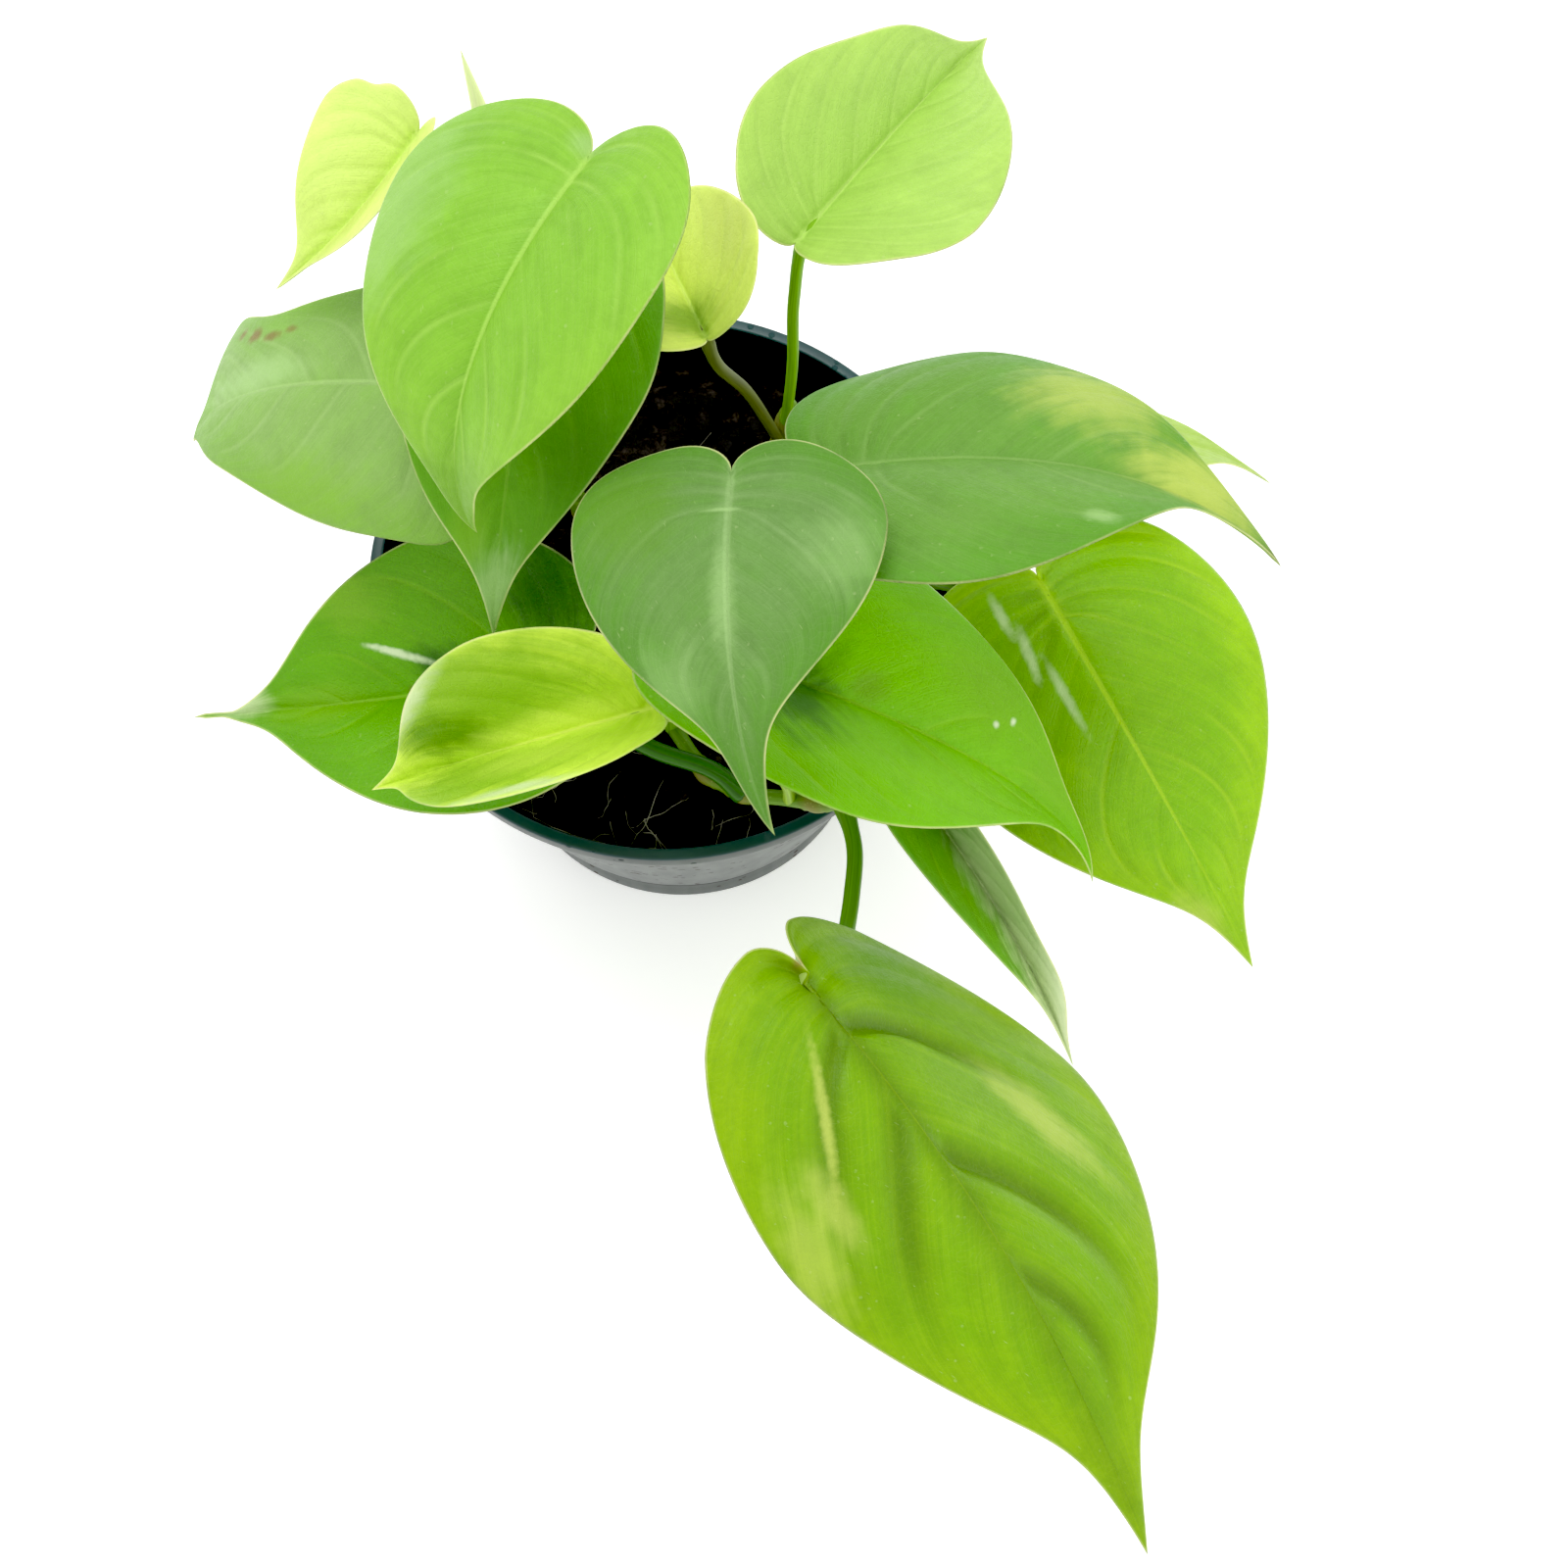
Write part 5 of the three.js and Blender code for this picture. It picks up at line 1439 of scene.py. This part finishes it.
class StageSettings(bpy.types.PropertyGroup):
    """The floor and the lights"""
    floor: colour_setting("Floor", "Colour of the floor", srgb(250, 250, 250))
    key: bpy.props.FloatProperty(name="Key light", description="Power of the large light", default=9)
    fill: bpy.props.FloatProperty(name="Fill light", description="Power of the small light", default=2)
    sky: bpy.props.FloatProperty(name="Sky", description="Strength of the light from all round", default=1.1)


# Operators


class PHILODENDRON_OT_pot(bpy.types.Operator):
    """Moulds the pot with its rounded lip, its foot band and its drain holes"""
    bl_idname = "philodendron.pot"
    bl_label = "Pot"

    def execute(self, context):
        settings = context.scene.philodendron_pot
        pot = Millimetres(settings, POT_LENGTHS)
        profile = spread(rounded(pot_profile(pot), CORNER_RADIUS), LONGEST_EDGE)
        piece = add_piece("pot_body", lathe(profile, POT_SEGMENTS), "pot", pot_material(settings))
        cut_away(piece, drain_cutters())
        piece.data.set_sharp_from_angle(angle=SHARP_ANGLE)
        return {"FINISHED"}


class PHILODENDRON_OT_soil(bpy.types.Operator):
    """Fills the pot with crumbly peat and lays hair roots on it"""
    bl_idname = "philodendron.soil"
    bl_label = "Peat and hair roots"

    def execute(self, context):
        settings = context.scene.philodendron_soil
        peat = Peat(settings, Millimetres(context.scene.philodendron_pot, POT_LENGTHS))
        add_piece("peat_bed", peat.skin(), "soil", peat_material(settings))
        add_piece("hair_roots", joined(root_skins(settings, peat)), None, root_material(settings))
        return {"FINISHED"}


class PHILODENDRON_OT_vines(bpy.types.Operator):
    """Grows the vines with their knobs"""
    bl_idname = "philodendron.vines"
    bl_label = "Vines"

    def execute(self, context):
        settings = context.scene.philodendron_stems
        material = stem_material(settings)
        for node, vine in VINES.items():
            skin = vine_skin(vine, settings.radius / MM, settings.knob_scale)
            add_piece(node.replace("vine", "stem"), skin, node, material)
        return {"FINISHED"}


class PHILODENDRON_OT_leaves(bpy.types.Operator):
    """Grows every open leaf with its veins and its stalk"""
    bl_idname = "philodendron.leaves"
    bl_label = "Leaves"

    def execute(self, context):
        settings = context.scene.philodendron_leaves
        for node, entry in LEAVES.items():
            leaf = {**LEAF_DEFAULTS, **entry}
            skin = joined([blade_skin(leaf, settings), stalk_skin(leaf)])
            material = leaf_material(f"{node}_skin", leaf, settings)
            add_piece(node.replace("leaf", "blade"), skin, node, material)
        return {"FINISHED"}


class PHILODENDRON_OT_rolled_leaf(bpy.types.Operator):
    """Rolls the new leaf at the tip of the left vine"""
    bl_idname = "philodendron.rolled_leaf"
    bl_label = "Rolled leaf"

    def execute(self, context):
        settings = context.scene.philodendron_leaves
        skin = rolled_skin(ROLLED_LEAF)
        add_piece("rolled_blade", skin, "rolled_leaf", rolled_material(settings))
        return {"FINISHED"}


class PHILODENDRON_OT_stage(bpy.types.Operator):
    """Lays the pale floor, hangs the lights and stands the camera"""
    bl_idname = "philodendron.stage"
    bl_label = "Stage, lights and camera"

    def execute(self, context):
        settings = context.scene.philodendron_stage
        add_floor(settings)
        add_lights(settings)
        add_camera()
        return {"FINISHED"}


# Stage, in metres

GROUND_RADIUS = 3
GROUND_SIDES = 96
GROUND_DROP = 0.0001
LIGHT_TARGET = (0, 0, 0.12)
KEY_PLACE, KEY_SIZE = (-0.25, 0.4, 1.5), 0.8
FILL_PLACE, FILL_SIZE = (1.0, -0.5, 0.9), 0.6
BLACK_LEVEL = 0.016


def add_floor(settings):
    """A wide disc under the pot with a faint paper grain."""
    n = Nodes("floor_paper")
    grain = n.noise(n.place(), 30, 3)
    colour = n.mix(n.fade(grain, 0.3, 0.7), settings.floor, scaled(settings.floor, 0.985))
    glow = dict(Emission_Color=(1, 1, 1), Emission_Strength=0.25)
    material = n.finish(colour, 0.9, None, Specular_IOR_Level=0.1, **glow)
    angle = 2 * np.pi * np.arange(GROUND_SIDES) / GROUND_SIDES
    x, y = GROUND_RADIUS * np.cos(angle), GROUND_RADIUS * np.sin(angle)
    ring = np.stack([x, y, np.full(GROUND_SIDES, -GROUND_DROP)], axis=1)
    mesh = bpy.data.meshes.new("floor")
    mesh.from_pydata(ring.tolist(), [], [list(range(GROUND_SIDES))])
    mesh.materials.append(material)
    floor = bpy.data.objects.new("floor", mesh)
    bpy.context.scene.collection.objects.link(floor)


def add_light(name, place, target, size, power):
    """A square light at a place, turned to its target, in metres and watts."""
    light = bpy.data.lights.new(name, "AREA")
    light.shape = "SQUARE"
    light.size = size
    light.energy = power
    lamp = bpy.data.objects.new(name, light)
    direction = Vector(target) - Vector(place)
    lamp.matrix_world = Matrix.Translation(place) @ direction.to_track_quat("-Z", "Y").to_matrix().to_4x4()
    bpy.context.scene.collection.objects.link(lamp)


def add_lights(settings):
    """A large light high on the left behind the pot, a small one on the right, and a pale sky."""
    add_light("key_light", KEY_PLACE, LIGHT_TARGET, KEY_SIZE, settings.key)
    add_light("fill_light", FILL_PLACE, LIGHT_TARGET, FILL_SIZE, settings.fill)
    world = bpy.data.worlds.new("studio")
    world.use_nodes = True
    background = world.node_tree.nodes["Background"]
    background.inputs["Color"].default_value = (1, 1, 1, 1)
    background.inputs["Strength"].default_value = settings.sky
    scene = bpy.context.scene
    scene.world = world
    view = scene.view_settings
    view.view_transform = "Standard"
    view.use_curve_mapping = True
    view.curve_mapping.black_level = (BLACK_LEVEL,) * 3
    view.curve_mapping.update()


def add_camera():
    """Turns the camera by its elevation and roll: its axes are right, up and away from the view direction."""
    elevation, roll = math.radians(CAMERA_ELEVATION), math.radians(CAMERA_ROLL)
    view = Vector((0, math.cos(elevation), -math.sin(elevation)))
    right = Vector((1, 0, 0))
    up = Vector((0, math.sin(elevation), math.cos(elevation)))
    turned_right = right * math.cos(roll) + up * math.sin(roll)
    turned_up = up * math.cos(roll) - right * math.sin(roll)
    axes = Matrix((turned_right, turned_up, -view)).transposed()
    data = bpy.data.cameras.new("camera")
    data.lens = CAMERA_LENS
    data.sensor_width = CAMERA_SENSOR
    data.clip_start = 0.01
    camera = bpy.data.objects.new("camera", data)
    camera.matrix_world = Matrix.Translation(Vector(CAMERA_PLACE) * MM) @ axes.to_4x4()
    bpy.context.scene.collection.objects.link(camera)
    bpy.context.scene.camera = camera


OPERATORS = (
    PHILODENDRON_OT_pot,
    PHILODENDRON_OT_soil,
    PHILODENDRON_OT_vines,
    PHILODENDRON_OT_leaves,
    PHILODENDRON_OT_rolled_leaf,
    PHILODENDRON_OT_stage,
)


class PHILODENDRON_PT_panel(bpy.types.Panel):
    """Lists the pieces and their settings"""
    bl_label = "Potted Philodendron"
    bl_idname = "PHILODENDRON_PT_panel"
    bl_space_type = "VIEW_3D"
    bl_region_type = "UI"
    bl_category = "Philodendron"

    def draw(self, context):
        for operator in OPERATORS:
            self.layout.operator(operator.bl_idname)
        for name in SETTINGS:
            group = getattr(context.scene, name)
            box = self.layout.box()
            for key in group.bl_rna.properties.keys():
                if key not in ("rna_type", "name"):
                    box.prop(group, key)


SETTINGS = {
    "philodendron_pot": PotSettings,
    "philodendron_soil": SoilSettings,
    "philodendron_stems": StemSettings,
    "philodendron_leaves": LeafSettings,
    "philodendron_stage": StageSettings,
}
CLASSES = (*SETTINGS.values(), *OPERATORS, PHILODENDRON_PT_panel)


def register():
    for cls in CLASSES:
        bpy.utils.register_class(cls)
    for name, group in SETTINGS.items():
        setattr(bpy.types.Scene, name, bpy.props.PointerProperty(type=group))


def unregister():
    for name in SETTINGS:
        delattr(bpy.types.Scene, name)
    for cls in reversed(CLASSES):
        bpy.utils.unregister_class(cls)


def main():
    """Registers the classes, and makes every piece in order."""
    register()
    for operator in OPERATORS:
        group, name = operator.bl_idname.split(".")
        getattr(getattr(bpy.ops, group), name)()


if __name__ == "__main__":
    main()
